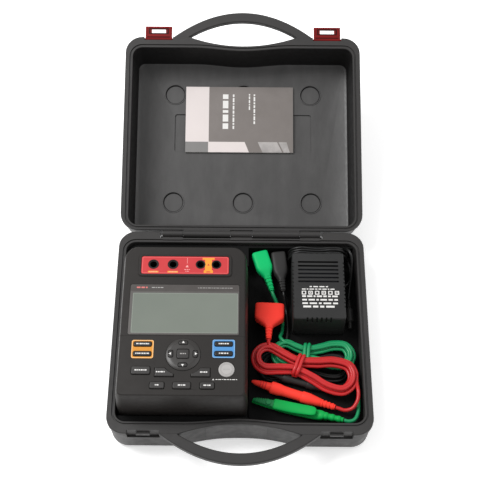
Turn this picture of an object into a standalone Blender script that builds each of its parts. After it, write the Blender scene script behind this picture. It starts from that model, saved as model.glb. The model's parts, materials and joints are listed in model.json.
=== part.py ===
"""Insulation resistance tester in its moulded carrying case, with adaptor, test leads and booklet.

Lengths are in millimetres and turned into metres by MM where a mesh or a place is made.
The origin is the centre of the case's underside: X right, Y towards the hinge, Z up.
The lid and its latches are modelled as they sit when the case is shut, then swung open.
"""

import math

import bmesh
import bpy
from mathutils import Euler, Matrix, Vector

MM = 0.001
GAP = 0.3  # between pieces that touch

# --- Case ---------------------------------------------------------------------------
CASE_HALF = 158.0  # half the outer width at the rim
FRONT_Y = -136.0  # outer front edge of the rim
EAR_Y = 141.0  # rear edge at the two corners
NOTCH_Y = 131.5  # rear edge between the corners, where the hinge lies
NOTCH_X = 105.0  # half the width between the corners
RIM_Z = 50.0
FLOOR = 3.0
CORNER = 22.0
CORNER_STEPS = 8
RIM_IN = 10.2  # from the outer edge of the rim to the cavity, at the sides
LIP_FRONT_Y = -120.7
LIP_REAR_Y = 124.5
GRIP_HALF = 72.0  # half the length of the finger gap
GRIP_WAVE = 12.6  # how far the front edge bows in behind the finger gap
LIP_WAVE = 4.4
WAVE_HALF = 66.0

HINGE_Y = 137.0
OPEN_ANGLE = 161.0  # degrees that the lid opens
LID_GAP = 0.4
LID_DEPTH = 57.5
LID_INSIDE = 54.5
BARREL = 4.5
PIN_R = 1.5
BASE_KNUCKLES = ((-102, -76), (-14, 14), (76, 102))
LID_KNUCKLES = ((-75.4, -14.6), (14.6, 75.4))

HANDLE_HALF = 94.0
HANDLE_REACH = 172.0
HANDLE_INNER = 158.5
HANDLE_THICK = 8.2

LATCH_X = 114.0
LATCH_W = 36.0
LATCH_PIVOT = (-134.1, 54.0)
LATCH_LENGTH = 17.8
LATCH_PLATE = 2.2
POCKET_Y = -131.6
SLOT_W, SLOT_TOP, SLOT_END = 19.0, 8.2, 14.0

# --- Foam insert ----------------------------------------------------------------------
FOAM_TOP = 44.0
BAY_X = 10.5  # left side of the accessory bay
BAY_FLOOR = 20.0
SHELF_Z = 29.5
SHELF_Y = -64.0
BAY_REAR = 120.5

# --- Tester -------------------------------------------------------------------------
TESTER_W, TESTER_L, TESTER_H = 155.0, 202.0, 94.0
TESTER_X = -68.5
TESTER_FRONT = -110.0
TESTER_REAR = TESTER_FRONT + TESTER_L
TESTER_FOOT = FLOOR + 0.4
TESTER_TOP = TESTER_FOOT + TESTER_H
SPLIT_Z = 55.0
REAR_R, FRONT_R = 18.0, 8.0
TOP_SKIN = 2.8
KEY_PROUD = 1.6
KEY_BOTTOM = TESTER_TOP - 5.0
KEY_GAP = 0.5
PAD_CENTRE = (-67.1, -56.4)
PAD_R = 20.4
PANEL_BOX = (-122.0, -15.0, 50.8, 75.3)
SOCKETS = ((-107.3, 6.2), (-83.4, 6.2), (-49.7, 5.6), (-30.3, 5.6))  # centre X, outer radius
SOCKET_Y = 64.2
SOCKET_BORE = 4.3
WINDOW_BOX = (-134.0, -1.5, -31.0, 37.0)
ORANGE_BOX = (-127.8, -101.9, -61.6, -38.1)
BLUE_BOX = (-32.9, -6.5, -60.4, -37.0)

# key name: centre X, centre Y, width, depth
SQUARE_KEYS = {
    "key_orange_upper": (-114.9, -43.4, 21.4, 6.4),
    "key_orange_lower": (-114.9, -55.8, 21.4, 6.4),
    "key_blue_upper": (-19.7, -42.6, 21.4, 6.4),
    "key_blue_lower": (-19.7, -55.0, 21.4, 6.4),
    "key_up": (-67.1, -42.0, 10.5, 5.0),
    "key_down": (-67.1, -70.2, 10.5, 5.0),
    "key_left": (-81.6, -56.2, 5.4, 9.0),
    "key_right": (-52.6, -56.2, 5.4, 9.0),
    "key_enter": (-67.1, -56.2, 14.0, 12.0),
    "key_power": (-115.6, -76.9, 22.0, 10.2),
    "key_mode_left": (-96.0, -95.4, 17.0, 8.6),
    "key_mode_middle": (-67.4, -95.4, 21.0, 8.6),
    "key_mode_right": (-38.1, -95.4, 17.0, 8.6),
}
PAD_KEYS = ("key_up", "key_down", "key_left", "key_right", "key_enter")
# Keys whose inner corner follows a circle round the direction pad: left, right, front and rear edges
CUT_KEYS = {"key_compare": (-99.4, -77.3, -84.6, -73.4), "key_timer": (-57.0, -34.9, -84.6, -73.4)}
CUT_R = 27.0
TEST_KEY = (-16.0, -75.3, 9.4)

# --- Adaptor ------------------------------------------------------------------------
ADAPTOR_BOX = (64.5, 129.5, 7.5, 101.0)
ADAPTOR_TOP = 66.0
ADAPTOR_SPLIT = 37.0
VENT_Y = (59.6, 65.2, 70.8, 76.4, 82.0, 87.6)

# --- Cords --------------------------------------------------------------------------
LEAD_D = 4.6
BLACK_D = 4.2
DC_D = 3.2

RED = (0.62, 0.025, 0.02)
GREEN = (0.01, 0.38, 0.12)
CHARCOAL = (0.035, 0.034, 0.034)
BLACK = (0.012, 0.012, 0.013)


# --- Helpers ------------------------------------------------------------------------
def clear_scene():
    for obj in list(bpy.data.objects):
        bpy.data.objects.remove(obj, do_unlink=True)


def material(name, colour, roughness, metallic=0.0):
    mat = bpy.data.materials.new(name)
    mat.use_nodes = True
    shader = mat.node_tree.nodes["Principled BSDF"]
    shader.inputs["Base Color"].default_value = (*colour, 1.0)
    shader.inputs["Roughness"].default_value = roughness
    shader.inputs["Metallic"].default_value = metallic
    return mat


class Place:
    """Where pieces are modelled: a parent empty and the point, in millimetres, where it sits."""

    def __init__(self, name=None, point=(0.0, 0.0, 0.0), parent=None, turn=(0.0, 0.0, 0.0)):
        self.point = Vector(point)
        self.empty = None
        if name:
            self.empty = bpy.data.objects.new(name, None)
            bpy.context.collection.objects.link(self.empty)
            above = parent.point if parent else Vector()
            self.empty.location = (self.point - above) * MM
            self.empty.rotation_euler = Euler([math.radians(a) for a in turn])
            if parent:
                self.empty.parent = parent.empty


def mesh_object(name, verts, faces, place, mat=None, smooth=None):
    """An object from points in millimetres; it hangs from the place's empty and shares its origin."""
    mesh = bpy.data.meshes.new(name)
    mesh.from_pydata([(Vector(v) - place.point) * MM for v in verts], [], faces)
    bm = bmesh.new()
    bm.from_mesh(mesh)
    bmesh.ops.recalc_face_normals(bm, faces=bm.faces)
    bm.to_mesh(mesh)
    bm.free()
    obj = bpy.data.objects.new(name, mesh)
    bpy.context.collection.objects.link(obj)
    obj.parent = place.empty
    if mat:
        mesh.materials.append(mat)
    if smooth:
        mesh.shade_smooth()
        mesh.set_sharp_from_angle(angle=math.radians(smooth))
    return obj


def loft(name, rings, place, mat=None, smooth=None):
    """A closed solid whose skin joins equal rings of points, with a flat cap on the first and last."""
    count = len(rings[0])
    verts = [p for ring in rings for p in ring]
    faces = [tuple(range(count)), tuple(range(len(verts) - count, len(verts)))]
    for k in range(len(rings) - 1):
        for i in range(count):
            j = (i + 1) % count
            faces.append((k * count + i, k * count + j, (k + 1) * count + j, (k + 1) * count + i))
    return mesh_object(name, verts, faces, place, mat, smooth)


def arc(cx, cy, radius, start, end, steps):
    """Points on a circle from start to end degrees, both ends in."""
    turn = [math.radians(start + (end - start) * i / steps) for i in range(steps + 1)]
    return [(cx + radius * math.cos(a), cy + radius * math.sin(a)) for a in turn]


def round_rect(x0, x1, y0, y1, radius, steps=3):
    """A rectangle with round corners, counter-clockwise."""
    points = []
    for cx, cy, start in (
        (x1 - radius, y0 + radius, -90),
        (x1 - radius, y1 - radius, 0),
        (x0 + radius, y1 - radius, 90),
        (x0 + radius, y0 + radius, 180),
    ):
        points += arc(cx, cy, radius, start, start + 90, steps)
    return points


def at_z(outline, z):
    return [(x, y, z) for x, y in outline]


def prism(name, outline, z0, z1, place, mat=None, smooth=None):
    return loft(name, [at_z(outline, z0), at_z(outline, z1)], place, mat, smooth)


def box(name, x0, x1, y0, y1, z0, z1, place, mat=None):
    return prism(name, [(x0, y0), (x1, y0), (x1, y1), (x0, y1)], z0, z1, place, mat)


def rod_x(name, x0, x1, y, z, radius, place, mat=None, sides=16):
    """A round bar along X."""
    ring = [(y + radius * math.cos(a), z + radius * math.sin(a))
            for a in (2 * math.pi * i / sides for i in range(sides))]
    return loft(name, [[(x, p, q) for p, q in ring] for x in (x0, x1)], place, mat, 40)


def many(name, pieces, place):
    """One helper mesh that holds several loose prisms, each an outline with its two heights."""
    verts, faces = [], []
    for outline, z0, z1 in pieces:
        first, count = len(verts), len(outline)
        verts += at_z(outline, z0) + at_z(outline, z1)
        faces.append(tuple(range(first, first + count)))
        faces.append(tuple(range(first + count, first + 2 * count)))
        for i in range(count):
            j = (i + 1) % count
            faces.append((first + i, first + j, first + count + j, first + count + i))
    return mesh_object(name, verts, faces, place)


def apply_tool(obj, tool, operation):
    """A Boolean of the object with a helper, which is left out of the render."""
    tool.hide_render = True
    tool.display_type = "WIRE"
    modifier = obj.modifiers.new(tool.name, "BOOLEAN")
    modifier.operation = operation
    modifier.object = tool
    modifier.solver = "EXACT"


def cut(obj, *tools):
    for tool in tools:
        apply_tool(obj, tool, "DIFFERENCE")


def join(obj, *tools):
    for tool in tools:
        apply_tool(obj, tool, "UNION")


# --- Case shells ----------------------------------------------------------------------
FRONT_X = [8 * i for i in range(-11, 12)]


def case_ring(z, side, front, rear, ear, radius, bow, wave):
    """One turn round the case at a height.

    side is the inset from the outer edge. bow is the depth of the curve behind the finger gap and
    wave that of the smooth bulge of the inner lip.
    """
    half = CASE_HALF - side
    points = []
    for x in FRONT_X:
        curve = max(0.0, 1 - (x / GRIP_HALF) ** 2)
        bulge = 0.5 + 0.5 * math.cos(math.pi * min(1.0, abs(x) / WAVE_HALF))
        points.append((x, front + bow * curve + wave * bulge))
    points += arc(half - radius, front + radius, radius, -90, 0, CORNER_STEPS)
    points += arc(half - radius, ear - radius, radius, 0, 90, CORNER_STEPS)
    points += [(NOTCH_X + 1, ear), (NOTCH_X, rear), (-NOTCH_X, rear), (-NOTCH_X - 1, ear)]
    points += arc(radius - half, ear - radius, radius, 90, 180, CORNER_STEPS)
    points += arc(radius - half, front + radius, radius, 180, 270, CORNER_STEPS)
    return at_z(points, z)


def lip_ring(z, inset):
    """One turn of the rim between the outer edge and the cavity; inset is counted from the side."""
    from_lip = RIM_IN - inset
    rear = LIP_REAR_Y + from_lip
    return case_ring(z, inset, LIP_FRONT_Y - from_lip, rear, rear, CORNER - 0.95 * inset, 0.0, LIP_WAVE)


def rim_rings(z, into):
    """The rim's flat top with its groove and inner lip; into is +1 where the material is above."""
    return [
        lip_ring(z, 5.6),
        lip_ring(z + 1.6 * into, 6.0),
        lip_ring(z + 1.6 * into, 7.4),
        lip_ring(z, 7.8),
        lip_ring(z, RIM_IN - 0.6),
        lip_ring(z + 0.8 * into, RIM_IN),
    ]


def handle_outline():
    """The carrying handle's bow, from foot to foot and back along the finger gap."""
    def bow(half, reach, depth_y, steps, reverse=False):
        xs = [half * (2 * i / steps - 1) for i in range(steps + 1)]
        points = [(x, depth_y - (depth_y - reach) * (1 - (x / half) ** 2)) for x in xs]
        return points[::-1] if reverse else points

    outer = bow(HANDLE_HALF, -HANDLE_REACH, FRONT_Y, 28)
    inner = bow(GRIP_HALF, -HANDLE_INNER, FRONT_Y - 0.4, 24, reverse=True)
    return outer + [(HANDLE_HALF, -131.0), (74.0, -131.0)] + inner + [(-74.0, -131.0), (-HANDLE_HALF, -131.0)]


def handle(name, z_face, direction, place):
    """A handle half whose flat face is at z_face; its far edges are chamfered."""
    outline = handle_outline()
    far = z_face + direction * HANDLE_THICK
    tool = prism(name, outline, min(z_face, far), max(z_face, far), place)
    bevel = tool.modifiers.new("edge", "BEVEL")
    bevel.width = 1.2 * MM
    bevel.segments = 1
    bevel.limit_method = "ANGLE"
    bevel.angle_limit = math.radians(60)
    return tool


def latch_pocket(name, x, z0, z1, place):
    half = LATCH_W / 2 + 1.25
    return box(name, x - half, x + half, FRONT_Y - 6, POCKET_Y, z0, z1, place)


def knuckles(obj, spans, z0, z1, wall_y, place, tag):
    """Hinge knuckles joined to a shell, then bored for the pin."""
    for i, (x0, x1) in enumerate(spans):
        join(
            obj,
            rod_x(f"{tag}_barrel_{i}", x0, x1, HINGE_Y, RIM_Z, BARREL, place, sides=20),
            box(f"{tag}_web_{i}", x0, x1, wall_y, HINGE_Y, z0, z1, place),
        )
    cut(obj, rod_x(f"{tag}_bore", -110, 110, HINGE_Y, RIM_Z, PIN_R + 0.35, place, sides=12))


def case_base(place, mat):
    rings = [
        case_ring(0.0, 6.5, -130.0, 126.0, 134.5, 18.0, 8.0, 0.0),
        case_ring(2.0, 3.6, -133.0, 129.3, 137.4, 20.0, 10.6, 0.0),
        case_ring(6.0, 2.6, -134.0, 130.3, 138.4, 21.0, 11.2, 0.0),
        case_ring(42.6, 1.4, -134.7, 131.2, 139.6, 21.6, 11.6, 0.0),
        case_ring(43.6, 0.0, FRONT_Y, NOTCH_Y, EAR_Y, CORNER, GRIP_WAVE, 0.0),
        case_ring(49.2, 0.0, FRONT_Y, NOTCH_Y, EAR_Y, CORNER, GRIP_WAVE, 0.0),
        case_ring(RIM_Z, 0.8, FRONT_Y + 0.8, NOTCH_Y - 0.4, EAR_Y - 0.8, CORNER - 0.6, GRIP_WAVE - 0.4, 0.0),
    ]
    rings += rim_rings(RIM_Z, -1)
    rings.append(lip_ring(FLOOR, RIM_IN))
    base = loft("case_base", rings, place, mat, 40)
    join(base, handle("base_handle", RIM_Z - 0.3, -1, place))
    for side in (-1, 1):
        x = side * LATCH_X
        cut(base, latch_pocket(f"base_pocket_{side}", x, 33.6, RIM_Z + 2, place))
        top = LATCH_PIVOT[1] - SLOT_TOP - 1.0
        low = LATCH_PIVOT[1] - SLOT_END + 1.0
        join(base, box(f"base_catch_{side}", x - 8, x + 8, -134.9, POCKET_Y + 2, low, top, place))
    knuckles(base, BASE_KNUCKLES, RIM_Z - BARREL, RIM_Z - 0.1, NOTCH_Y - 3, place, "base")
    return base


def case_lid(place, mat):
    top = RIM_Z + LID_DEPTH
    rim = RIM_Z + LID_GAP
    rear = NOTCH_Y
    rings = [
        case_ring(top, 14.0, -122.0, 117.0, 117.0, 12.0, 3.0, 0.0),
        case_ring(top - 1.6, 8.4, -127.6, 122.6, 122.6, 15.0, 6.0, 0.0),
        case_ring(top - 4.6, 4.6, -131.4, 126.4, 126.4, 18.0, 9.0, 0.0),
        case_ring(top - 10.0, 2.6, -133.6, 129.0, 129.0, 20.5, 11.0, 0.0),
        case_ring(rim + 7.6, 1.4, -134.7, 131.2, 131.2, 21.6, 11.6, 0.0),
        case_ring(rim + 6.6, 0.0, FRONT_Y, rear, rear, CORNER, GRIP_WAVE, 0.0),
        case_ring(rim + 0.8, 0.0, FRONT_Y, rear, rear, CORNER, GRIP_WAVE, 0.0),
        case_ring(rim, 0.8, FRONT_Y + 0.8, rear - 0.4, rear - 0.4, CORNER - 0.6, GRIP_WAVE - 0.4, 0.0),
    ]
    rings += rim_rings(rim, 1)
    inside = RIM_Z + LID_INSIDE
    rings.append(lip_ring(inside - 6.0, RIM_IN + 1.8))
    rings.append(lip_ring(inside - 1.6, RIM_IN + 3.4))
    rings.append(lip_ring(inside, RIM_IN + 6.6))
    lid = loft("case_lid", rings, place, mat, 40)
    join(lid, handle("lid_handle", rim + 0.3, 1, place))
    for side in (-1, 1):
        x = side * LATCH_X
        half = LATCH_W / 2 + 3.6
        cut(
            lid,
            latch_pocket(f"lid_pocket_{side}", x, RIM_Z - 1, RIM_Z + 9.4, place),
            rod_x(f"lid_bore_{side}", x - half, x + half, *LATCH_PIVOT, 1.3, place, sides=10),
        )
    recess = 1.8
    marks = [(arc(x, HINGE_Y - s, 13.5, 0, 350, 35), inside - 2, inside + recess)
             for x in (-93.0, 1.7, 94.0) for s in (56.0, 210.0)]
    marks.append((round_rect(-93.0, 95.0, HINGE_Y - 181.5, HINGE_Y - 127.3, 3, 2), inside - 2, inside + recess))
    cut(lid, many("lid_recesses", marks, place))
    knuckles(lid, LID_KNUCKLES, RIM_Z + 0.5, RIM_Z + BARREL, NOTCH_Y - 3, place, "lid")
    return lid


def latch(name, x, parent, mat):
    """A flat latch on moulded trunnions, swung out from the front of the lid."""
    y, z = LATCH_PIVOT
    place = Place(name + "_axis", (x, y, z), parent, (-90.0, 0.0, 0.0))
    half = LATCH_W / 2
    plate = box(name, x - half, x + half, y - 1.2, y - 1.2 + LATCH_PLATE, z - LATCH_LENGTH, z, place, mat)
    lip = [(x - half, y - 3.4, z - LATCH_LENGTH), (x + half, y - 3.4, z - LATCH_LENGTH),
           (x + half, y - 0.4, z - LATCH_LENGTH), (x - half, y - 0.4, z - LATCH_LENGTH)]
    upper = [(px, py + (1.6 if py < y - 2 else 0.0), z - LATCH_LENGTH + 3.0) for px, py, _ in lip]
    join(
        plate,
        rod_x(name + "_barrel", x - half, x + half, y, z, 1.9, place, sides=12),
        rod_x(name + "_trunnion", x - half - 2.8, x + half + 2.8, y, z, 1.0, place, sides=10),
        loft(name + "_lip", [lip, upper], place),
    )
    slot = SLOT_W / 2
    cut(plate, box(name + "_slot", x - slot, x + slot, y - 5, y + 5, z - SLOT_END, z - SLOT_TOP, place))
    return plate


# --- Foam insert ----------------------------------------------------------------------
def foam_insert(place, mat):
    inset = RIM_IN + GAP
    foam = loft("foam_insert", [lip_ring(FLOOR + GAP, inset), lip_ring(FOAM_TOP, inset)], place, mat, 40)
    beyond = CASE_HALF + 10
    cut(
        foam,
        box("tester_pocket", -beyond, BAY_X, TESTER_FRONT - 1.5, TESTER_REAR + 1.5, -5, 80, place),
        box("accessory_bay", BAY_X - 1, beyond, SHELF_Y, BAY_REAR, BAY_FLOOR, 81, place),
        box("probe_shelf", BAY_X - 1.5, beyond, -beyond, SHELF_Y + 2, SHELF_Z, 82, place),
    )
    return foam


# --- Tester -------------------------------------------------------------------------
def tester_ring(z, inset):
    """One turn round the tester, with wide rear corners and tight front ones."""
    x0 = TESTER_X - TESTER_W / 2 + inset
    x1 = TESTER_X + TESTER_W / 2 - inset
    y0, y1 = TESTER_FRONT + inset * 0.6, TESTER_REAR - inset * 0.6
    front, rear = max(1.5, FRONT_R - inset * 0.6), max(3.0, REAR_R - inset * 0.6)
    points = arc(x1 - front, y0 + front, front, -90, 0, 6)
    points += arc(x1 - rear, y1 - rear, rear, 0, 90, 8)
    points += arc(x0 + rear, y1 - rear, rear, 90, 180, 8)
    points += arc(x0 + front, y0 + front, front, 180, 270, 6)
    return at_z(points, z)


def lower_housing(place, mat):
    foot = TESTER_FOOT
    housing = loft(
        "tester_lower_housing",
        [
            tester_ring(foot, 5.0),
            tester_ring(foot + 2.5, 2.0),
            tester_ring(foot + 20, 0.8),
            tester_ring(SPLIT_Z - 0.2, 0.0),
            tester_ring(SPLIT_Z - 0.2, 2.6),
            tester_ring(foot + 4.0, 5.2),
        ],
        place, mat, 40,
    )
    door = (TESTER_X - 55, TESTER_X + 55, -18, 88)
    cut(housing, box("battery_opening", *door, foot - 3, foot + 8, place))
    return housing


def upper_housing(place, mat):
    top = TESTER_TOP
    housing = loft(
        "tester_upper_housing",
        [
            tester_ring(top, 5.4),
            tester_ring(top - 0.9, 3.9),
            tester_ring(top - 3.4, 2.9),
            tester_ring(top - 7.5, 1.9),
            tester_ring(SPLIT_Z + 4.0, 0.0),
            tester_ring(SPLIT_Z, 0.0),
            tester_ring(SPLIT_Z, 2.6),
            tester_ring(top - 9.0, 4.8),
            tester_ring(top - TOP_SKIN, 8.0),
        ],
        place, mat, 40,
    )
    x0, x1, y0, y1 = PANEL_BOX
    outer = round_rect(x0 - 4, x1 + 4, y0 - 3.4, y1 + 2.8, 5, 3)
    crown = round_rect(x0 - 2.8, x1 + 2.8, y0 - 2.4, y1 + 1.8, 4, 3)
    join(housing, loft("terminal_surround", [at_z(outer, top - 1), at_z(outer, top + 0.6),
                                             at_z(crown, top + 1.5)], place))
    holes = [(round_rect(x0 - 0.4, x1 + 0.4, y0 - 0.4, y1 + 0.4, 2.4, 2), top - 0.2, top + 4)]
    holes += [(round_rect(x0 + 3, x1 - 3, y0 + 3, y1 - 3, 4, 2), top - 6, top)]
    wx0, wx1, wy0, wy1 = WINDOW_BOX
    holes += [(round_rect(wx0, wx1, wy0, wy1, 2.4, 2), top - 1.7, top + 3)]
    holes += [(round_rect(wx0 + 3, wx1 - 3, wy0 + 3, wy1 - 3, 2, 1), top - 6, top - 1)]
    cut(housing, many("panel_and_window_openings", holes[0::2], place))
    cut(housing, many("panel_and_window_throats", holes[1::2], place))
    keys = [(key_outline(name, KEY_GAP), top - 6, top + 5) for name in key_names() if name not in PAD_KEYS]
    keys.append((arc(*PAD_CENTRE, PAD_R + 0.4, 0, 352.5, 47), top - 6, top + 5))
    cut(housing, many("key_openings", keys, place))
    plates = [(round_rect(*b, 2.5, 2), top - 0.9, top + 3) for b in (grown(ORANGE_BOX, 0.3), grown(BLUE_BOX, 0.3))]
    cut(housing, many("plate_recesses", plates, place))
    return housing


def grown(edges, by):
    x0, x1, y0, y1 = edges
    return (x0 - by, x1 + by, y0 - by, y1 + by)


def key_names():
    return list(SQUARE_KEYS) + list(CUT_KEYS) + ["key_test"]


def key_outline(name, grow=0.0):
    """A key's outline seen from above, made larger all round by grow."""
    if name in SQUARE_KEYS:
        x, y, w, d = SQUARE_KEYS[name]
        return round_rect(x - w / 2 - grow, x + w / 2 + grow, y - d / 2 - grow, y + d / 2 + grow, 1.6 + grow, 2)
    if name == "key_test":
        x, y, radius = TEST_KEY
        return arc(x, y, radius + grow, 0, 345, 23)
    x0, x1, y0, y1 = grown(CUT_KEYS[name], grow)
    cx, cy = PAD_CENTRE
    radius = CUT_R - grow
    side = -1 if x1 < cx else 1
    inner, outer = (x1, x0) if side < 0 else (x0, x1)
    at_inner = math.degrees(math.atan2(-math.sqrt(radius**2 - (inner - cx) ** 2), inner - cx))
    at_rear = math.degrees(math.atan2(y1 - cy, side * math.sqrt(radius**2 - (y1 - cy) ** 2)))
    curve = arc(cx, cy, radius, at_inner, at_rear, 4)
    points = [(outer, y0), (inner, y0)] + curve + [(outer, y1)]
    return points if side < 0 else points[::-1]


def shrunk(outline, by):
    """The outline drawn in towards its middle by about the given distance."""
    xs, ys = [p[0] for p in outline], [p[1] for p in outline]
    cx, cy = (min(xs) + max(xs)) / 2, (min(ys) + max(ys)) / 2
    kx = 1 - 2 * by / (max(xs) - min(xs))
    ky = 1 - 2 * by / (max(ys) - min(ys))
    return [(cx + (x - cx) * kx, cy + (y - cy) * ky) for x, y in outline]


def key(name, parent, mat):
    outline = key_outline(name)
    top = TESTER_TOP + KEY_PROUD
    if name in PAD_KEYS:
        top += 0.9
    xs, ys = [p[0] for p in outline], [p[1] for p in outline]
    centre = ((min(xs) + max(xs)) / 2, (min(ys) + max(ys)) / 2, TESTER_TOP)
    place = Place(name + "_travel", centre, parent)
    rings = [at_z(outline, KEY_BOTTOM), at_z(outline, top - 0.7), at_z(shrunk(outline, 0.7), top)]
    return loft(name, rings, place, mat, 40)


def direction_pad(place, mat):
    """The domed disc round the arrow keys, with a hole for each."""
    cx, cy = PAD_CENTRE
    levels = ((TESTER_TOP - 4.6, PAD_R), (TESTER_TOP + 0.6, PAD_R), (TESTER_TOP + 1.5, PAD_R - 1.6),
              (TESTER_TOP + 1.9, PAD_R - 6.0))
    rings = [at_z(arc(cx, cy, r, 0, 352.5, 47), z) for z, r in levels]
    pad = loft("direction_pad", rings, place, mat, 40)
    holes = [(key_outline(name, KEY_GAP), TESTER_TOP - 8, TESTER_TOP + 8) for name in PAD_KEYS]
    cut(pad, many("pad_openings", holes, place))
    return pad


def colour_plate(name, edges, keys, place, mat):
    plate = prism(name, round_rect(*edges, 2.4, 2), TESTER_TOP - 0.6, TESTER_TOP + 0.5, place, mat, 40)
    holes = [(key_outline(k, KEY_GAP - 0.1), TESTER_TOP - 3, TESTER_TOP + 3) for k in keys]
    cut(plate, many(name + "_openings", holes, place))
    return plate


def terminal_block(place, mat):
    """The moulded block behind the red panel, with four shrouded 4 mm sockets."""
    x0, x1, y0, y1 = PANEL_BOX
    top = TESTER_TOP - 1.2
    outline = round_rect(x0 + 4, x1 - 4, y0 + 4, y1 - 4, 3.6, 2)
    block = prism("terminal_block", outline, top - 34, top, place, mat, 40)
    for i, (x, radius) in enumerate(SOCKETS):
        tube = prism(f"socket_wall_{i}", arc(x, SOCKET_Y, radius, 0, 337.5, 15), top - 2, TESTER_TOP + 0.9, place)
        join(block, tube)
    bores = [(arc(x, SOCKET_Y, SOCKET_BORE, 0, 337.5, 15), top - 24, top + 8) for x, _ in SOCKETS]
    cut(block, many("socket_bores", bores, place))
    return block


def tester(parent, mats):
    place = Place("tester_lift", (TESTER_X, 0.0, TESTER_FOOT), parent)
    top = TESTER_TOP
    lower_housing(place, mats["housing"])
    upper_housing(place, mats["housing"])
    door = round_rect(TESTER_X - 54.6, TESTER_X + 54.6, -17.6, 87.6, 1, 1)
    prism("battery_door", door, TESTER_FOOT + 0.3, TESTER_FOOT + 2.9, place, mats["housing"])
    for side, name in ((-1, "battery_bank_left"), (1, "battery_bank_right")):
        bank = [(TESTER_X + side * 26.4 + u, TESTER_FOOT + 17.2 + v) for u, v in cell_pair()]
        loft(name, [[(x, y, z) for x, z in bank] for y in (-16.0, 86.0)], place, mats["cell"], 40)
    box("main_board", TESTER_X - 66, TESTER_X + 66, -100, 44, top - 14.0, top - 12.4, place, mats["board"])
    box("keypad_mat", TESTER_X - 62, TESTER_X + 62, -103, -35, top - 12.0, top - 6.4, place, mats["rubber"])
    box("lcd_module", -131.5, -4.0, -29.5, 27.5, top - 11.5, top - 4.4, place, mats["lcd"])
    wx0, wx1, wy0, wy1 = grown(WINDOW_BOX, -0.35)
    prism("display_window", round_rect(wx0, wx1, wy0, wy1, 2.1, 2), top - 1.4, top - 0.1, place, mats["window"], 40)
    panel = prism("terminal_panel", round_rect(*PANEL_BOX, 2.2, 2), top + 0.1, top + 1.2, place, mats["panel"], 40)
    rims = [(arc(x, SOCKET_Y, radius + 0.4, 0, 345, 23), top - 3, top + 4) for x, radius in SOCKETS]
    cut(panel, many("panel_holes", rims, place))
    terminal_block(place, mats["socket"])
    direction_pad(place, mats["housing"])
    colour_plate("orange_key_plate", ORANGE_BOX, ("key_orange_upper", "key_orange_lower"), place, mats["orange"])
    colour_plate("blue_key_plate", BLUE_BOX, ("key_blue_upper", "key_blue_lower"), place, mats["blue"])
    for name in key_names():
        key(name, place, mats["test_key"] if name == "key_test" else mats["key"])
    return place


def cell_pair():
    """The end view of two C cells side by side in their sleeve, 26 mm across each."""
    radius, offset = 12.9, 12.6
    meet = math.degrees(math.acos(offset / radius))
    right = arc(offset, 0, radius, meet - 180, 180 - meet, 16)
    left = arc(-offset, 0, radius, meet, 360 - meet, 16)
    return right + left[1:-1]


# --- Adaptor ------------------------------------------------------------------------
def adaptor(place, mats):
    x0, x1, y0, y1 = ADAPTOR_BOX
    split = ADAPTOR_SPLIT

    def ring(z, inset):
        return at_z(round_rect(x0 + inset, x1 - inset, y0 + inset, y1 - inset, max(0.8, 3.0 - inset), 2), z)

    top = ADAPTOR_TOP
    shell = loft(
        "adaptor_housing",
        [ring(top, 1.2), ring(top - 1.2, 0), ring(split + 0.15, 0), ring(split + 0.15, 2.2), ring(top - 2.4, 2.2)],
        place, mats["adaptor"], 40,
    )
    slots = [(round_rect(x0 + 7, x1 - 7, y - 1.2, y + 1.2, 0.8, 1), top - 6, top + 3) for y in VENT_Y]
    cut(shell, many("adaptor_vents", slots, place))
    floor = BAY_FLOOR + GAP
    loft(
        "adaptor_base",
        [ring(floor, 1.5), ring(floor + 1.5, 0), ring(split - 0.15, 0), ring(split - 0.15, 2.2), ring(floor + 2.4, 2.2)],
        place, mats["adaptor"], 40,
    )
    box("adaptor_transformer", x0 + 8, x1 - 8, 30, 84, floor + 2.8, top - 6, place, mats["cell"])


# --- Cords and what is on them ----------------------------------------------------------
def smooth_curve(route, spacing):
    """Points a steady distance apart on a smooth curve through the route's points."""
    pts = [Vector(p) for p in route]
    pts = [2 * pts[0] - pts[1]] + pts + [2 * pts[-1] - pts[-2]]
    dense = []
    for p0, p1, p2, p3 in zip(pts, pts[1:], pts[2:], pts[3:]):
        for i in range(24):
            t = i / 24
            dense.append(0.5 * (2 * p1 + (p2 - p0) * t + (2 * p0 - 5 * p1 + 4 * p2 - p3) * t**2
                                + (3 * p1 - p0 - 3 * p2 + p3) * t**3))
    dense.append(pts[-2])
    lengths = [0.0]
    for a, b in zip(dense, dense[1:]):
        lengths.append(lengths[-1] + (b - a).length)
    count = max(2, round(lengths[-1] / spacing))
    result, k = [], 0
    for i in range(count + 1):
        want = lengths[-1] * i / count
        while k < len(dense) - 2 and lengths[k + 1] < want:
            k += 1
        step = lengths[k + 1] - lengths[k]
        result.append(dense[k].lerp(dense[k + 1], (want - lengths[k]) / step if step else 0.0))
    return result


def cord_tube(name, route, diameter, mat):
    points = smooth_curve(route, 2.0 * diameter)
    curve = bpy.data.curves.new(name, "CURVE")
    curve.dimensions = "3D"
    curve.bevel_depth = diameter / 2 * MM
    curve.bevel_resolution = 2
    curve.use_fill_caps = True
    spline = curve.splines.new("POLY")
    spline.points.add(len(points) - 1)
    for point, p in zip(spline.points, points):
        point.co = (*(p * MM), 1.0)
    obj = bpy.data.objects.new(name, curve)
    bpy.context.collection.objects.link(obj)
    curve.materials.append(mat)
    return obj


def hank_outline(a, b, ra, rb, steps=10):
    """The outline round two circles, as a hank of cord has with a fold at each end."""
    ax, ay = a
    bx, by = b
    along = math.degrees(math.atan2(by - ay, bx - ax))
    spread = math.degrees(math.acos((ra - rb) / math.hypot(bx - ax, by - ay)))
    far = arc(bx, by, rb, along - spread, along + spread, steps)
    near = arc(ax, ay, ra, along + spread, along + 360 - spread, steps)
    return far + near


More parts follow.
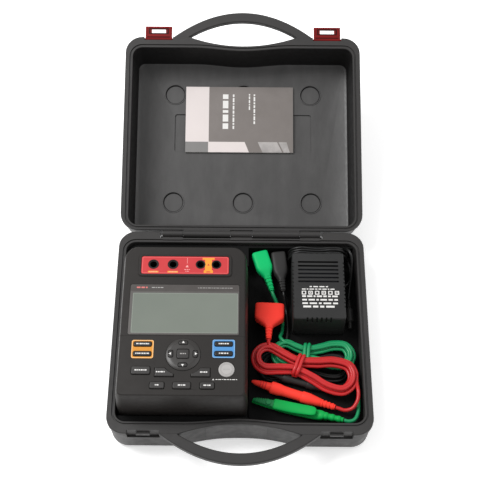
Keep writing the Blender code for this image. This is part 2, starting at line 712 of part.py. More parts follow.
def tool_on_lead(name, sections, start, aim, mat, sides=12, squareness=0.0):
    """A plug, clip or probe lofted along a line from start towards aim.

    A section is (distance, width, height). squareness goes from 0, an oval, to 1, nearly a box.
    """
    start, aim = Vector(start), Vector(aim)
    forward = (aim - start).normalized()
    across = forward.cross(Vector((0, 0, 1))).normalized()
    upward = across.cross(forward)
    power = 1 - 0.72 * squareness
    rings = []
    for distance, width, height in sections:
        ring = []
        for i in range(sides):
            a = 2 * math.pi * (i + 0.5) / sides
            c, s = math.cos(a), math.sin(a)
            u = math.copysign(abs(c) ** power, c) * width / 2
            v = math.copysign(abs(s) ** power, s) * height / 2
            ring.append(tuple(start + forward * distance + across * u + upward * v))
        rings.append(ring)
    return loft(name, rings, Place(), mat, 50)


def ribbed_boot(begin, length, wide, thin):
    """Sections of a strain relief that narrows from wide to thin in four ribs."""
    sections = []
    for i in range(4):
        at = begin + length * i / 4
        size = wide + (thin - wide) * i / 4
        sections += [(at, size, size), (at + length * 0.16, size, size), (at + length * 0.17, size - 1.4, size - 1.4)]
    return sections + [(begin + length, thin, thin)]


def sleeve(name, x, y, z1, obj):
    """The shrouded pin that points down from a right-angled plug and stands on the bay's floor."""
    join(obj, prism(name, arc(x, y, 5.6, 0, 330, 11), BAY_FLOOR + GAP, z1, Place()))


# Each pair is the two ends of a plug, clip or probe, from the end away from its cord
GREEN_PLUG = ((23.5, 116.6, 37.6), (39.5, 62.0, 35.0))
BLACK_PLUG = ((47.8, 117.0, 36.4), (54.2, 62.0, 34.0))
RED_PLUG = ((36.6, 40.0, 38.2), (34.6, -11.0, 46.0))
RED_PROBE = ((14.0, -63.6, 38.0), (113.6, -96.4, 38.0))
BLACK_PROBE = ((34.0, -52.0, 35.6), (116.8, -76.2, 35.6))
GREEN_CLIP = ((14.0, -87.0, 36.6), (123.0, -112.3, 37.0))
DC_PLUG = ((138.2, 14.0, 25.6), (138.2, 54.4, 25.6))
CLIP_PIVOT = 54.0  # from the clip's tip to its pivot


def past(ends, distance):
    """The point a distance beyond a plug's cord end, on its line."""
    start, end = Vector(ends[0]), Vector(ends[1])
    return tuple(end + (end - start).normalized() * distance)


GREEN_ROUTE = [past(GREEN_PLUG, 0.9), past(GREEN_PLUG, 6), (47.2, 45.0, 27.8), (52.6, 34.0, 23.3), (53.3, 20.0, 23.1),
               (51.4, 8.0, 25.6), (48.6, 1.0, 31.2), (47.5, -2.2, 35.0)]
BLACK_ROUTE = [past(BLACK_PLUG, 0.9), past(BLACK_PLUG, 6), (57.4, 42.0, 23.6), (59.0, 24.0, 22.7), (58.8, 6.0, 22.7),
               (56.8, -6.0, 23.2), (53.0, -13.2, 24.8)]
RED_TAIL = [past(RED_PROBE, 0.9), past(RED_PROBE, 5), (126.0, -100.6, 38.8), (134.6, -98.4, 41.0), (140.0, -91.0, 44.2),
            (141.6, -83.0, 46.0), (141.4, -77.4, 46.6)]
GREEN_TAIL = [past(GREEN_CLIP, 0.9), past(GREEN_CLIP, 7), (136.6, -111.4, 37.0), (141.0, -103.0, 36.4), (142.6, -88.0, 35.4),
              (142.6, -66.0, 34.2), (141.8, -54.0, 34.2), (139.6, -47.6, 34.2)]
BLACK_TAIL = [past(BLACK_PROBE, 0.9), past(BLACK_PROBE, 5), (129.0, -77.4, 35.2), (135.2, -70.6, 34.0),
              (136.6, -61.4, 31.8), (137.0, -55.0, 27.2), (136.6, -51.6, 24.6)]
DC_OUT = [(130.2, 74.0, 28.0), (134.0, 74.0, 28.0), (138.6, 79.0, 28.0), (140.8, 87.0, 28.4), (141.2, 97.0, 31.0),
          (139.6, 104.4, 34.6)]
DC_TAIL = [past(DC_PLUG, 0.9), past(DC_PLUG, 5), (139.6, 72.0, 29.4), (141.2, 86.0, 39.0), (141.8, 97.0, 50.0),
           (140.0, 104.6, 56.2), (136.2, 109.8, 57.6)]


def lead_plug(name, width, height, ends, length, sleeves, mat):
    """A right-angled plug: a flat body with sloping shoulders, a ribbed boot and its shrouded pins."""
    total = (Vector(ends[1]) - Vector(ends[0])).length
    neck = 9.0
    body = [(0, width - 2.4, height - 2.4), (1.4, width, height), (length, width, height),
            (length + 8, width * 0.62, height * 0.8), (length + 13, neck + 1.5, neck + 1.5)]
    plug = tool_on_lead(name, body + ribbed_boot(length + 13.6, total - length - 13.6, neck, 6.6), *ends, mat, 12, 0.75)
    for i, (x, y) in enumerate(sleeves):
        sleeve(f"{name}_sleeve_{i}", x, y, ends[0][2], plug)
    return plug


def leads(place, mats):
    lead_plug("green_plug", 21.0, 13.0, GREEN_PLUG, 24.0, [(25.2, 109.0)], mats["green"])
    lead_plug("black_plug", 19.0, 13.0, BLACK_PLUG, 27.0, [(48.8, 109.0)], mats["black"])
    lead_plug("red_plug", 37.0, 14.0, RED_PLUG, 21.0, [(24.2, 32.6), (43.2, 32.6)], mats["red"])

    cord_tube("green_lead", GREEN_ROUTE, LEAD_D, mats["green"])
    cord_tube("black_lead", BLACK_ROUTE, BLACK_D, mats["black"])
    prism("black_hank", hank_outline((42, -37.6), (115, -38.4), 21.6, 21.6), 20.4, 29.2, place, mats["black"], 40)
    prism("green_hank", hank_outline((57, -24.5), (120.6, -26.5), 21.4, 22.4), 29.6, 39.2, place, mats["green"], 40)
    prism("red_hank", hank_outline((34, -36), (117.8, -59), 21.5, 26.0), 41.7, 51.3, place, mats["red"], 40)
    cord_tube("red_lead_tail", RED_TAIL, LEAD_D, mats["red"])
    cord_tube("green_lead_tail", GREEN_TAIL, LEAD_D, mats["green"])
    cord_tube("black_lead_tail", BLACK_TAIL, BLACK_D, mats["black"])

    probe = [(0, 4.0, 4.0), (6, 6.6, 6.6), (16, 8.8, 8.8), (24, 10.4, 10.4), (24.3, 14.2, 14.2), (27, 15.0, 15.0),
             (36, 14.4, 14.4), (40, 12.8, 12.8), (63, 12.2, 12.2), (63.3, 14.4, 14.4), (74, 14.0, 14.0),
             (87, 10.0, 10.0)]
    reach = (Vector(RED_PROBE[1]) - Vector(RED_PROBE[0])).length
    tool_on_lead("red_probe", probe + ribbed_boot(87.6, reach - 87.6, 9.0, 6.8), *RED_PROBE, mats["red"])
    reach = (Vector(BLACK_PROBE[1]) - Vector(BLACK_PROBE[0])).length
    short = [(d * 0.78, w * 0.76, h * 0.76) for d, w, h in probe]
    tool_on_lead("black_probe", short + ribbed_boot(68.6, reach - 68.6, 7.6, 5.8), *BLACK_PROBE, mats["black"])
    green_clip(mats["green"])


def green_clip(mat):
    """An insulated crocodile clip: a fixed half with the boot, and a jaw with its thumb lever."""
    tip, back = Vector(GREEN_CLIP[0]), Vector(GREEN_CLIP[1])
    forward = (back - tip).normalized()
    across = forward.cross(Vector((0, 0, 1))).normalized()
    reach = (back - tip).length

    def half(name, sections, place):
        """Each section is (distance, width, height, lift above the clip's line)."""
        rings = []
        for distance, width, height, lift in sections:
            turn = [2 * math.pi * (i + 0.5) / 12 for i in range(12)]
            rings.append([tuple(tip + forward * distance + across * (math.cos(a) * width / 2)
                                + Vector((0, 0, lift + math.sin(a) * height / 2))) for a in turn])
        return loft(name, rings, place, mat, 50)

    fixed = [(0, 4.6, 3.6, -3.6), (20, 8.6, 4.6, -3.6), (44, 12.6, 5.4, -3.4), (78, 12.6, 5.4, -3.2),
             (84, 12.4, 9.6, -0.6), (88, 11.0, 9.4, 0.0)]
    fixed += [(d, w, h, 0.0) for d, w, h in ribbed_boot(88.6, reach - 88.6, 9.2, 6.8)]
    half("green_clip", fixed, Place())
    jaw = [(1, 4.2, 3.2, 1.8), (20, 8.2, 4.0, 2.2), (46, 12.2, 4.6, 2.6), (54, 12.6, 5.0, 3.0), (60, 12.2, 4.2, 4.2),
           (72, 11.6, 3.4, 6.6), (78, 9.0, 3.0, 7.4)]
    half("green_clip_jaw", jaw, Place("green_clip_pivot", tuple(tip + forward * CLIP_PIVOT)))


def dc_cord(place, mats):
    """The adaptor's thin lead comes out of its right side."""
    outline = hank_outline((77, 38.6), (120, 38.6), 17.8, 17.8)
    loft("dc_hank", [[(x, y, z) for x, z in outline] for y in (104.6, 117.8)], place, mats["black"], 40)
    cord_tube("dc_lead", DC_OUT, DC_D, mats["black"])
    cord_tube("dc_lead_tail", DC_TAIL, DC_D, mats["black"])
    plug = [(0, 5.4, 5.4), (9.5, 5.4, 5.4), (9.7, 8.6, 8.6), (11, 9.6, 9.6), (26, 9.6, 9.6), (28, 7.6, 7.6)]
    tool_on_lead("dc_plug", plug + ribbed_boot(28.4, 12.0, 6.4, 4.6), *DC_PLUG, mats["black"])


# --- Assembly -----------------------------------------------------------------------
def main():
    clear_scene()
    mats = {
        "case": material("case_plastic", (0.045, 0.043, 0.042), 0.5),
        "foam": material("foam_black", (0.01, 0.01, 0.01), 0.9),
        "latch": material("latch_red", (0.25, 0.01, 0.012), 0.45),
        "steel": material("steel_bright", (0.55, 0.55, 0.55), 0.3, 1.0),
        "housing": material("housing_plastic", (0.05, 0.047, 0.045), 0.5),
        "panel": material("panel_red", (0.62, 0.06, 0.06), 0.4),
        "socket": material("socket_black", BLACK, 0.5),
        "window": material("window_clear", (0.2, 0.23, 0.2), 0.15),
        "lcd": material("lcd_green", (0.22, 0.26, 0.22), 0.4),
        "board": material("board_green", (0.02, 0.12, 0.05), 0.5),
        "rubber": material("rubber_grey", (0.12, 0.12, 0.12), 0.8),
        "cell": material("cell_sleeve", (0.05, 0.06, 0.09), 0.4),
        "orange": material("plate_orange", (0.8, 0.33, 0.03), 0.45),
        "blue": material("plate_blue", (0.13, 0.36, 0.75), 0.45),
        "key": material("key_dark", (0.03, 0.028, 0.028), 0.5),
        "test_key": material("key_pale", (0.6, 0.6, 0.6), 0.5),
        "adaptor": material("adaptor_plastic", CHARCOAL, 0.55),
        "green": material("lead_green", GREEN, 0.45),
        "red": material("lead_red", RED, 0.45),
        "black": material("lead_black", BLACK, 0.5),
        "paper": material("booklet_paper", (0.3, 0.3, 0.29), 0.7),
    }
    world = Place()
    case_base(world, mats["case"])
    foam_insert(world, mats["foam"])
    rod_x("hinge_pin", -101.5, 101.5, HINGE_Y, RIM_Z, PIN_R, world, mats["steel"], sides=12)
    lid_place = Place("lid_axis", (0.0, HINGE_Y, RIM_Z), None, (-OPEN_ANGLE, 0.0, 0.0))
    case_lid(lid_place, mats["case"])
    for side, name in ((-1, "latch_left"), (1, "latch_right")):
        latch(name, side * LATCH_X, lid_place, mats["latch"])
    under = RIM_Z + LID_INSIDE - GAP
    box("manual_booklet", -78, 70, HINGE_Y - 220.6, HINGE_Y - 126.4, under - 2.6, under, lid_place, mats["paper"])
    tester(world, mats)
    adaptor(world, mats)
    leads(world, mats)
    dc_cord(world, mats)


main()
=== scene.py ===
"""Looks of the insulation resistance tester kit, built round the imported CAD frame.

Lengths are in millimetres and turned into metres by MM. The frame's origin is the centre of the
case's underside: X right, Y towards the hinge, Z up.
"""

import json
import math

import bmesh
import bpy
from mathutils import Matrix, Vector

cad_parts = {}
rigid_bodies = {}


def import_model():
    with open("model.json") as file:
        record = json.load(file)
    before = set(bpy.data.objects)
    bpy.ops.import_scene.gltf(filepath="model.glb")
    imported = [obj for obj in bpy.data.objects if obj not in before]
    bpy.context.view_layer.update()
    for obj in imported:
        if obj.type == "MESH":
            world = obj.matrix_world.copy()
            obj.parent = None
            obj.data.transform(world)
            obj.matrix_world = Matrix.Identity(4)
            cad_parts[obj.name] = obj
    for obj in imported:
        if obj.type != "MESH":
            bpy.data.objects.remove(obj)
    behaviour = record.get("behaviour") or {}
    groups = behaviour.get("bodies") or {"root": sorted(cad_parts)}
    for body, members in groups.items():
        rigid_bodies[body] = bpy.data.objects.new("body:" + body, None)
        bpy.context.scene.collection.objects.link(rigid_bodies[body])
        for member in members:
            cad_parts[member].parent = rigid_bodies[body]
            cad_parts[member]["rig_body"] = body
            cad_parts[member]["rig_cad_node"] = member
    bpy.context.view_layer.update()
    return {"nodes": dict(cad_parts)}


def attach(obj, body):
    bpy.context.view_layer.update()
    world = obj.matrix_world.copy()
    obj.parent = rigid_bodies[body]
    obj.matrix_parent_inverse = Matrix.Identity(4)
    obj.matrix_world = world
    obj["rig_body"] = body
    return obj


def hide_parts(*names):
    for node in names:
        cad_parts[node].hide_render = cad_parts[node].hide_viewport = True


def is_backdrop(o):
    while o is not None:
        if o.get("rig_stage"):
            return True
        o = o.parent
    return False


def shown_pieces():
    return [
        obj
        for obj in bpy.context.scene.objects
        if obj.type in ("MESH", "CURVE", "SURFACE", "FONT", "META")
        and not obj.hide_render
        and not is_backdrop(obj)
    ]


MM = 0.001
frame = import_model()
NODES = frame["nodes"]

HINGE = Vector((0.0, 137.0, 50.0))
OPEN_ANGLE = math.radians(161)
LID_TURN = (Matrix.Translation(HINGE * MM) @ Matrix.Rotation(-OPEN_ANGLE, 4, "X")
            @ Matrix.Translation(-HINGE * MM))

LEAD_D, BLACK_D, DC_D = 4.6, 4.2, 3.2
TESTER_TOP = 97.4
KEY_TOP = TESTER_TOP + 1.6
ADAPTOR_TOP = 66.0


# --- Camera, lights and floor ---
def placed(name, data):
    """A new object in the scene."""
    obj = bpy.data.objects.new(name, data)
    bpy.context.collection.objects.link(obj)
    return obj


def level_axes(forward):
    """The level direction across a line, and the direction upright to both."""
    across = forward.cross(Vector((0, 0, 1))).normalized()
    return across, across.cross(forward)


def aim_camera():
    """The camera stands in front of the case and looks down on it."""
    place = Vector((0.62, -582.0, 1237.9))
    down, yaw, roll = (math.radians(angle) for angle in (59.11, -0.19, 0.27))
    forward = Vector((math.sin(yaw) * math.cos(down), math.cos(yaw) * math.cos(down), -math.sin(down)))
    right, upward = level_axes(forward)
    tilted = right * math.cos(roll) + upward * math.sin(roll)
    upright = upward * math.cos(roll) - right * math.sin(roll)
    data = bpy.data.cameras.new("camera")
    data.lens = 80.12
    data.sensor_width = 36.0
    data.clip_start, data.clip_end = 0.05, 50.0
    camera = placed("camera", data)
    rows = Matrix((tilted, upright, -forward)).transposed().to_4x4()
    camera.matrix_world = Matrix.Translation(place * MM) @ rows
    bpy.context.scene.camera = camera


def area_light(name, place, target, size, power):
    data = bpy.data.lights.new(name, "AREA")
    data.shape = "DISK"
    data.size = size
    data.energy = power
    light = placed(name, data)
    light.location = place
    light.rotation_euler = (Vector(target) - Vector(place)).to_track_quat("-Z", "Y").to_euler()


def studio():
    aim_camera()
    middle = (0, 0.1, 0)
    area_light("key_light", (-1.2, 0.55, 2.0), middle, 1.2, 44)
    area_light("fill_light", (1.5, 0.3, 2.2), middle, 2.2, 12)
    world = bpy.data.worlds.new("studio")
    world.use_nodes = True
    background = world.node_tree.nodes["Background"]
    background.inputs["Color"].default_value = (1, 1, 1, 1)
    background.inputs["Strength"].default_value = 0.62
    bpy.context.scene.world = world
    bpy.context.scene.view_settings.view_transform = "Standard"
    lay_floor(20, -0.001)


def lay_floor(reach, level):
    """A pale square floor that reaches so many metres out from the origin, at a level in metres."""
    mesh = bpy.data.meshes.new("floor")
    mesh.from_pydata(at_z(rect(-reach, reach, -reach, reach), level), [], [(0, 1, 2, 3)])
    floor = placed("floor", mesh)
    mat = bpy.data.materials.new("floor")
    mat.use_nodes = True
    inputs = mat.node_tree.nodes["Principled BSDF"].inputs
    inputs["Base Color"].default_value = (0.93, 0.93, 0.93, 1)
    inputs["Roughness"].default_value = 0.9
    inputs["Specular IOR Level"].default_value = 0.1
    inputs["Emission Color"].default_value = (1, 1, 1, 1)
    inputs["Emission Strength"].default_value = 0.42
    mesh.materials.append(mat)
    floor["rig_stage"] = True


# --- Materials ---
def node(tree, kind, **values):
    made = tree.nodes.new(kind)
    for key, value in values.items():
        made.inputs[key].default_value = value
    return made


def surface(name, dark, light, rough, blotch=12.0, grain=1500.0, depth=0.00008, stretch=(1, 1, 1), **fixed):
    """A solid material whose colour and roughness wander a little and whose skin has a fine grain.

    dark and light are the two colours that it wanders between, and rough the two roughnesses.
    stretch squeezes the wander along an axis, as for brushed or drawn marks. What is in fixed is
    set on the shader.
    """
    mat = bpy.data.materials.new(name)
    mat.use_nodes = True
    tree = mat.node_tree
    shader = tree.nodes["Principled BSDF"]
    for key, value in fixed.items():
        shader.inputs[key.replace("_", " ")].default_value = value

    def join(source, output, target, entry):
        tree.links.new(source.outputs[output], target.inputs[entry])

    coords = node(tree, "ShaderNodeTexCoord")
    mapping = node(tree, "ShaderNodeMapping", Scale=stretch)
    join(coords, "Object", mapping, "Vector")
    broad = node(tree, "ShaderNodeTexNoise", Scale=blotch, Detail=4.0, Roughness=0.6)
    join(mapping, "Vector", broad, "Vector")
    ramp = node(tree, "ShaderNodeValToRGB")
    for stop, position, colour in zip(ramp.color_ramp.elements, (0.32, 0.68), (dark, light)):
        stop.position = position
        stop.color = (*colour, 1)
    join(broad, "Fac", ramp, "Fac")
    join(ramp, "Color", shader, "Base Color")
    medium = node(tree, "ShaderNodeTexNoise", Scale=blotch * 9, Detail=3.0)
    join(mapping, "Vector", medium, "Vector")
    ends = {"From Min": 0.3, "From Max": 0.7, "To Min": rough[0], "To Max": rough[1]}
    spread = node(tree, "ShaderNodeMapRange", **ends)
    join(medium, "Fac", spread, "Value")
    join(spread, "Result", shader, "Roughness")
    fine = node(tree, "ShaderNodeTexNoise", Scale=grain, Detail=2.0)
    join(coords, "Object", fine, "Vector")
    bump = node(tree, "ShaderNodeBump", Strength=0.5, Distance=depth)
    join(fine, "Fac", bump, "Height")
    join(bump, "Normal", shader, "Normal")
    return mat


def plain(name, colour, rough, by, **more):
    """A surface that wanders by a share of its colour to either side."""
    dark = tuple(c * (1 - by) for c in colour)
    light = tuple(c * (1 + by) for c in colour)
    return surface(name, dark, light, rough, **more)


def ink(name, colour, rough=(0.4, 0.5), by=0.05, **more):
    """What is printed or painted on a face."""
    return plain(name, colour, rough, by, depth=0.00002, **DULL, **more)


DULL = {"Specular_IOR_Level": 0.28}
SOFT = {"Specular_IOR_Level": 0.4}
FAINT = {"Specular_IOR_Level": 0.13}
MOULDED = {"depth": 0.00012, "grain": 1100}
M = {
    "case": plain("case_plastic", (0.032, 0.0305, 0.030), (0.42, 0.56), 0.09, **MOULDED, **DULL),
    # painted shade: a darker copy of the lid plastic for the lid's inner walls and the walls of its round
    # recesses, where shade falls
    "lid_shade": plain("lid_wall_painted_shade", (0.014, 0.0135, 0.0135), (0.42, 0.56), 0.12, **MOULDED,
                      Specular_IOR_Level=0.15),
    # painted sheen: a lighter copy of the case plastic for the lid's inner floor and beads, standing for the
    # light from above that the floor reflects
    "lid": plain("lid_plastic_painted_sheen", (0.056, 0.0545, 0.054), (0.36, 0.48), 0.14, depth=0.0001, grain=1100,
                 stretch=(1, 0.12, 1), blotch=60.0, **SOFT),
    "foam": plain("foam_black", (0.006, 0.006, 0.006), (0.85, 0.95), 0.3, depth=0.0005, grain=700,
                  Specular_IOR_Level=0.1),
    "latch": plain("latch_red", (0.16, 0.007, 0.007), (0.36, 0.46), 0.15, depth=0.00005, **FAINT),
    # painted shade: a near-black red for the thin rings and lines that stand for shade on the latch's inner
    # face
    "latch_dark": plain("latch_dark", (0.030, 0.002, 0.002), (0.4, 0.5), 0.2, depth=0.00005, **FAINT),
    "steel": plain("steel_bright", (0.28, 0.28, 0.28), (0.25, 0.35), 0.1, stretch=(0.1, 1, 1),
                   Metallic=1.0),
    "housing": plain("housing_plastic", (0.0200, 0.0178, 0.0165), (0.42, 0.55), 0.08, depth=0.00008,
                     grain=1700, Specular_IOR_Level=0.2),
    "pad": plain("pad_plastic", (0.030, 0.0275, 0.026), (0.30, 0.38), 0.1, depth=0.00003, **SOFT),
    "panel": plain("panel_red", (0.50, 0.036, 0.040), (0.36, 0.46), 0.06, depth=0.00003, **DULL),
    "pink": ink("panel_pink", (0.75, 0.14, 0.14)),
    "pink_pale": ink("panel_pale", (0.80, 0.36, 0.34)),
    "socket": plain("socket_black", (0.006, 0.0045, 0.0045), (0.4, 0.5), 0.1, **DULL),
    "bezel": plain("bezel_grey", (0.085, 0.078, 0.074), (0.3, 0.4), 0.06, depth=0.00002, **SOFT),
    "header": plain("header_grey", (0.060, 0.053, 0.050), (0.3, 0.4), 0.08, depth=0.00002, **SOFT),
    "lcd": surface("lcd_green", (0.150, 0.170, 0.146), (0.175, 0.194, 0.166), (0.14, 0.22), 5.0,
                   depth=0.000005, Coat_Weight=0.5, Coat_Roughness=0.08, **DULL),
    "lcd_line": plain("lcd_line", (0.25, 0.265, 0.24), (0.3, 0.4), 0.05, depth=0.000005),
    "lcd_back": plain("lcd_module", (0.3, 0.33, 0.3), (0.2, 0.3), 0.05),
    "board": plain("board_green", (0.015, 0.12, 0.05), (0.35, 0.5), 0.2, blotch=80.0),
    "rubber": plain("rubber_grey", (0.14, 0.14, 0.14), (0.7, 0.8), 0.1),
    "cell": plain("cell_sleeve", (0.02, 0.025, 0.04), (0.25, 0.35), 0.1),
    "orange": plain("plate_orange", (0.60, 0.245, 0.024), (0.4, 0.5), 0.06, depth=0.00003, **DULL),
    "yellow": ink("print_yellow", (0.80, 0.30, 0.03)),
    "cream": ink("print_cream", (0.80, 0.47, 0.20)),
    "blue": plain("plate_blue", (0.070, 0.25, 0.54), (0.4, 0.5), 0.05, depth=0.00003, **DULL),
    "sky": ink("print_sky", (0.20, 0.40, 0.66)),
    "key": plain("key_dark", (0.021, 0.019, 0.018), (0.34, 0.44), 0.1, depth=0.00003, **SOFT),
    "black_key": plain("key_black", (0.008, 0.007, 0.007), (0.3, 0.4), 0.1, depth=0.00003, **SOFT),
    "test_key": plain("key_pale", (0.40, 0.385, 0.375), (0.38, 0.48), 0.05, depth=0.00003, **DULL),
    "test_line": ink("key_line", (0.30, 0.29, 0.28)),
    "white": ink("print_white", (0.72, 0.71, 0.69), by=0.04),
    "grey_print": ink("print_grey", (0.34, 0.33, 0.32)),
    "print_red": ink("print_red", (0.60, 0.16, 0.15)),
    "adaptor": plain("adaptor_plastic", (0.019, 0.019, 0.019), (0.5, 0.62), 0.15, depth=0.00025,
                     grain=900, **DULL),
    "green_cord": plain("cord_green", (0.008, 0.26, 0.095), (0.3, 0.42), 0.12, depth=0.00005,
                        Coat_Weight=0.15, Coat_Roughness=0.25, **DULL),
    "green": plain("lead_green", (0.003, 0.43, 0.125), (0.4, 0.52), 0.08, **FAINT),
    "green_clip": plain("clip_green", (0.003, 0.32, 0.06), (0.4, 0.52), 0.1, **FAINT),
    "green_dark": plain("clip_dark_green", (0.003, 0.16, 0.045), (0.4, 0.52), 0.15, **DULL),
    "red_cord": plain("cord_red", (0.47, 0.016, 0.018), (0.26, 0.38), 0.12, depth=0.00005,
                      Coat_Weight=0.2, Coat_Roughness=0.22, **DULL),
    "red_dark": plain("probe_red", (0.55, 0.02, 0.018), (0.42, 0.54), 0.08, **DULL),
    "red": plain("lead_red", (0.90, 0.048, 0.032), (0.42, 0.54), 0.06, **FAINT),
    "black": plain("lead_black", (0.008, 0.008, 0.008), (0.33, 0.45), 0.15, depth=0.00006,
                   Coat_Weight=0.15, Coat_Roughness=0.3, **DULL),
    "plug_black": plain("plug_black", (0.019, 0.0185, 0.018), (0.45, 0.58), 0.12, depth=0.00012, **DULL),
    "cover": surface("booklet_cover", (0.160, 0.142, 0.132), (0.19, 0.170, 0.160), (0.3, 0.4), 18.0,
                     depth=0.00001, Coat_Weight=0.3, Coat_Roughness=0.2, **DULL),
    "cover_light": ink("booklet_light", (0.66, 0.60, 0.585), (0.35, 0.45), 0.03),
    "cover_mid": ink("booklet_mid", (0.20, 0.195, 0.19), (0.35, 0.45), 0.04),
    "cover_pale": ink("booklet_pale", (0.36, 0.34, 0.33), (0.35, 0.45), 0.2, blotch=60.0),
    "paper": plain("booklet_pages", (0.62, 0.61, 0.58), (0.75, 0.85), 0.05, blotch=900.0,
                   stretch=(0.02, 0.02, 9)),
}


# --- Geometry helpers ---
EDGE_ANGLE = math.radians(28)  # edges sharper than this are softened on what comes from the CAD
WELD = 2e-6  # metres; points that lie closer are one
FLAT = math.radians(0.6)  # faces that meet at less are one


def arc(cx, cy, radius, start, end, steps):
    """Points on a circle from start to end degrees, both ends in."""
    turn = [math.radians(start + (end - start) * i / steps) for i in range(steps + 1)]
    return [(cx + radius * math.cos(a), cy + radius * math.sin(a)) for a in turn]


def ring(cx, cy, radius, sides=32):
    return arc(cx, cy, radius, 0, 360 - 360 / sides, sides - 1)


def rect(x0, x1, y0, y1):
    return [(x0, y0), (x1, y0), (x1, y1), (x0, y1)]


def round_rect(x0, x1, y0, y1, radius, steps=5):
    points = []
    for cx, cy, start in (
        (x1 - radius, y0 + radius, -90),
        (x1 - radius, y1 - radius, 0),
        (x0 + radius, y1 - radius, 90),
        (x0 + radius, y0 + radius, 180),
    ):
        points += arc(cx, cy, radius, start, start + 90, steps)
    return points


def at_z(outline, z):
    return [(x, y, z) for x, y in outline]


def mesh_piece(name, verts, faces, mat, body, smooth=40, turn=None):
    """A piece from points in millimetres that rides on a CAD body. turn places what is modelled shut."""
    mesh = bpy.data.meshes.new(name)
    mesh.from_pydata([Vector(v) * MM for v in verts], [], faces)
    bm = bmesh.new()
    bm.from_mesh(mesh)
    bmesh.ops.recalc_face_normals(bm, faces=bm.faces)
    bm.to_mesh(mesh)
    bm.free()
    mesh.shade_smooth()
    mesh.set_sharp_from_angle(angle=math.radians(smooth))
    obj = placed(name, mesh)
    mesh.materials.append(M[mat])
    if turn:
        obj.matrix_world = turn
    if body:
        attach(obj, body)
    return obj


def lofts(stacks):
    """Points and faces of several closed lofts, each a list of equal rings of points."""
    verts, faces = [], []
    for rings in stacks:
        first, count = len(verts), len(rings[0])
        verts += [p for r in rings for p in r]
        last = len(verts) - count
        faces += [tuple(range(first, first + count)), tuple(range(last, last + count))]
        for k in range(len(rings) - 1):
            low = first + k * count
            for i in range(count):
                j = (i + 1) % count
                faces.append((low + i, low + j, low + count + j, low + count + i))
    return verts, faces


def slabs(name, shapes, mat, body, turn=None):
    """Flat shapes as one piece: each is an outline with its two heights."""
    stacks = [[at_z(outline, low), at_z(outline, high)] for outline, low, high in shapes]
    return mesh_piece(name, *lofts(stacks), mat, body, turn=turn)


def flat_band(name, outer, inner, low, thick, mat, body, turn):
    """The flat band between two outlines of as many points."""
    rings = [at_z(outline, z) for z in (low, low + thick) for outline in (outer, inner)]
    count = len(outer)
    a, b, c, d = (count * k for k in range(4))
    faces = []
    for i in range(count):
        j = (i + 1) % count
        faces += [(a + i, a + j, b + j, b + i), (c + i, d + i, d + j, c + j), (a + i, c + i, c + j, a + j),
                  (b + i, b + j, d + j, d + i)]
    return mesh_piece(name, sum(rings, []), faces, mat, body, turn=turn)


def soften(obj, width, segments=2):
    bevel = obj.modifiers.new("edges", "BEVEL")
    bevel.width = width * MM
    bevel.segments = segments
    bevel.limit_method = "ANGLE"
    bevel.angle_limit = EDGE_ANGLE
    bevel.harden_normals = True


def refined(node_name, mat, width, segments=2, cutters=()):
    """A copy of a CAD node with softened edges, which stands for it. cutters are cut out of it."""
    source = NODES[node_name]
    mesh = source.data.copy()
    bm = bmesh.new()
    bm.from_mesh(mesh)
    bmesh.ops.remove_doubles(bm, verts=bm.verts, dist=WELD)
    bmesh.ops.dissolve_limit(bm, angle_limit=FLAT, verts=bm.verts, edges=bm.edges)
    bm.to_mesh(mesh)
    bm.free()
    mesh.materials.clear()
    mesh.materials.append(M[mat])
    for name in [a.name for a in mesh.attributes if a.name == "custom_normal"]:
        mesh.attributes.remove(mesh.attributes[name])
    mesh.shade_smooth()
    mesh.set_sharp_from_angle(angle=EDGE_ANGLE)
    obj = placed(node_name + "_look", mesh)
    for cutter in cutters:
        modifier = obj.modifiers.new(cutter.name, "BOOLEAN")
        modifier.operation = "DIFFERENCE"
        modifier.object = cutter
        modifier.solver = "EXACT"
    soften(obj, width, segments)
    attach(obj, source["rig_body"])
    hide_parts(node_name)
    return obj


def bake(obj):
    """Applies the modifiers, so that helpers can be removed."""
    graph = bpy.context.evaluated_depsgraph_get()
    mesh = bpy.data.meshes.new_from_object(obj.evaluated_get(graph), depsgraph=graph)
    obj.modifiers.clear()
    obj.data = mesh


def helper(name, shapes):
    """A cutter that is never shown."""
    obj = slabs(name, shapes, "case", None)
    obj.hide_render = True
    return obj


def dress(node_name, mat):
    """Gives a CAD node that stays in view its material."""
    data = NODES[node_name].data
    data.materials.clear()
    data.materials.append(M[mat])


# --- Cords ---
def past(ends, distance):
    start, end = Vector(ends[0]), Vector(ends[1])
    return tuple(end + (end - start).normalized() * distance)


def smooth_curve(route, spacing):
    """Points a steady distance apart on a smooth curve through the route's points."""
    pts = [Vector(p) for p in route]
    pts = [2 * pts[0] - pts[1]] + pts + [2 * pts[-1] - pts[-2]]
    dense = []
    for p0, p1, p2, p3 in zip(pts, pts[1:], pts[2:], pts[3:]):
        for i in range(24):
            t = i / 24
            dense.append(0.5 * (2 * p1 + (p2 - p0) * t + (2 * p0 - 5 * p1 + 4 * p2 - p3) * t**2
                                + (3 * p1 - p0 - 3 * p2 + p3) * t**3))
    dense.append(pts[-2])
    lengths = [0.0]
    for a, b in zip(dense, dense[1:]):
        lengths.append(lengths[-1] + (b - a).length)
    count = max(2, round(lengths[-1] / spacing))
    result, k = [], 0
    for i in range(count + 1):
        want = lengths[-1] * i / count
        while k < len(dense) - 2 and lengths[k + 1] < want:
            k += 1
        step = lengths[k + 1] - lengths[k]
        result.append(dense[k].lerp(dense[k + 1], (want - lengths[k]) / step if step else 0.0))
    return result


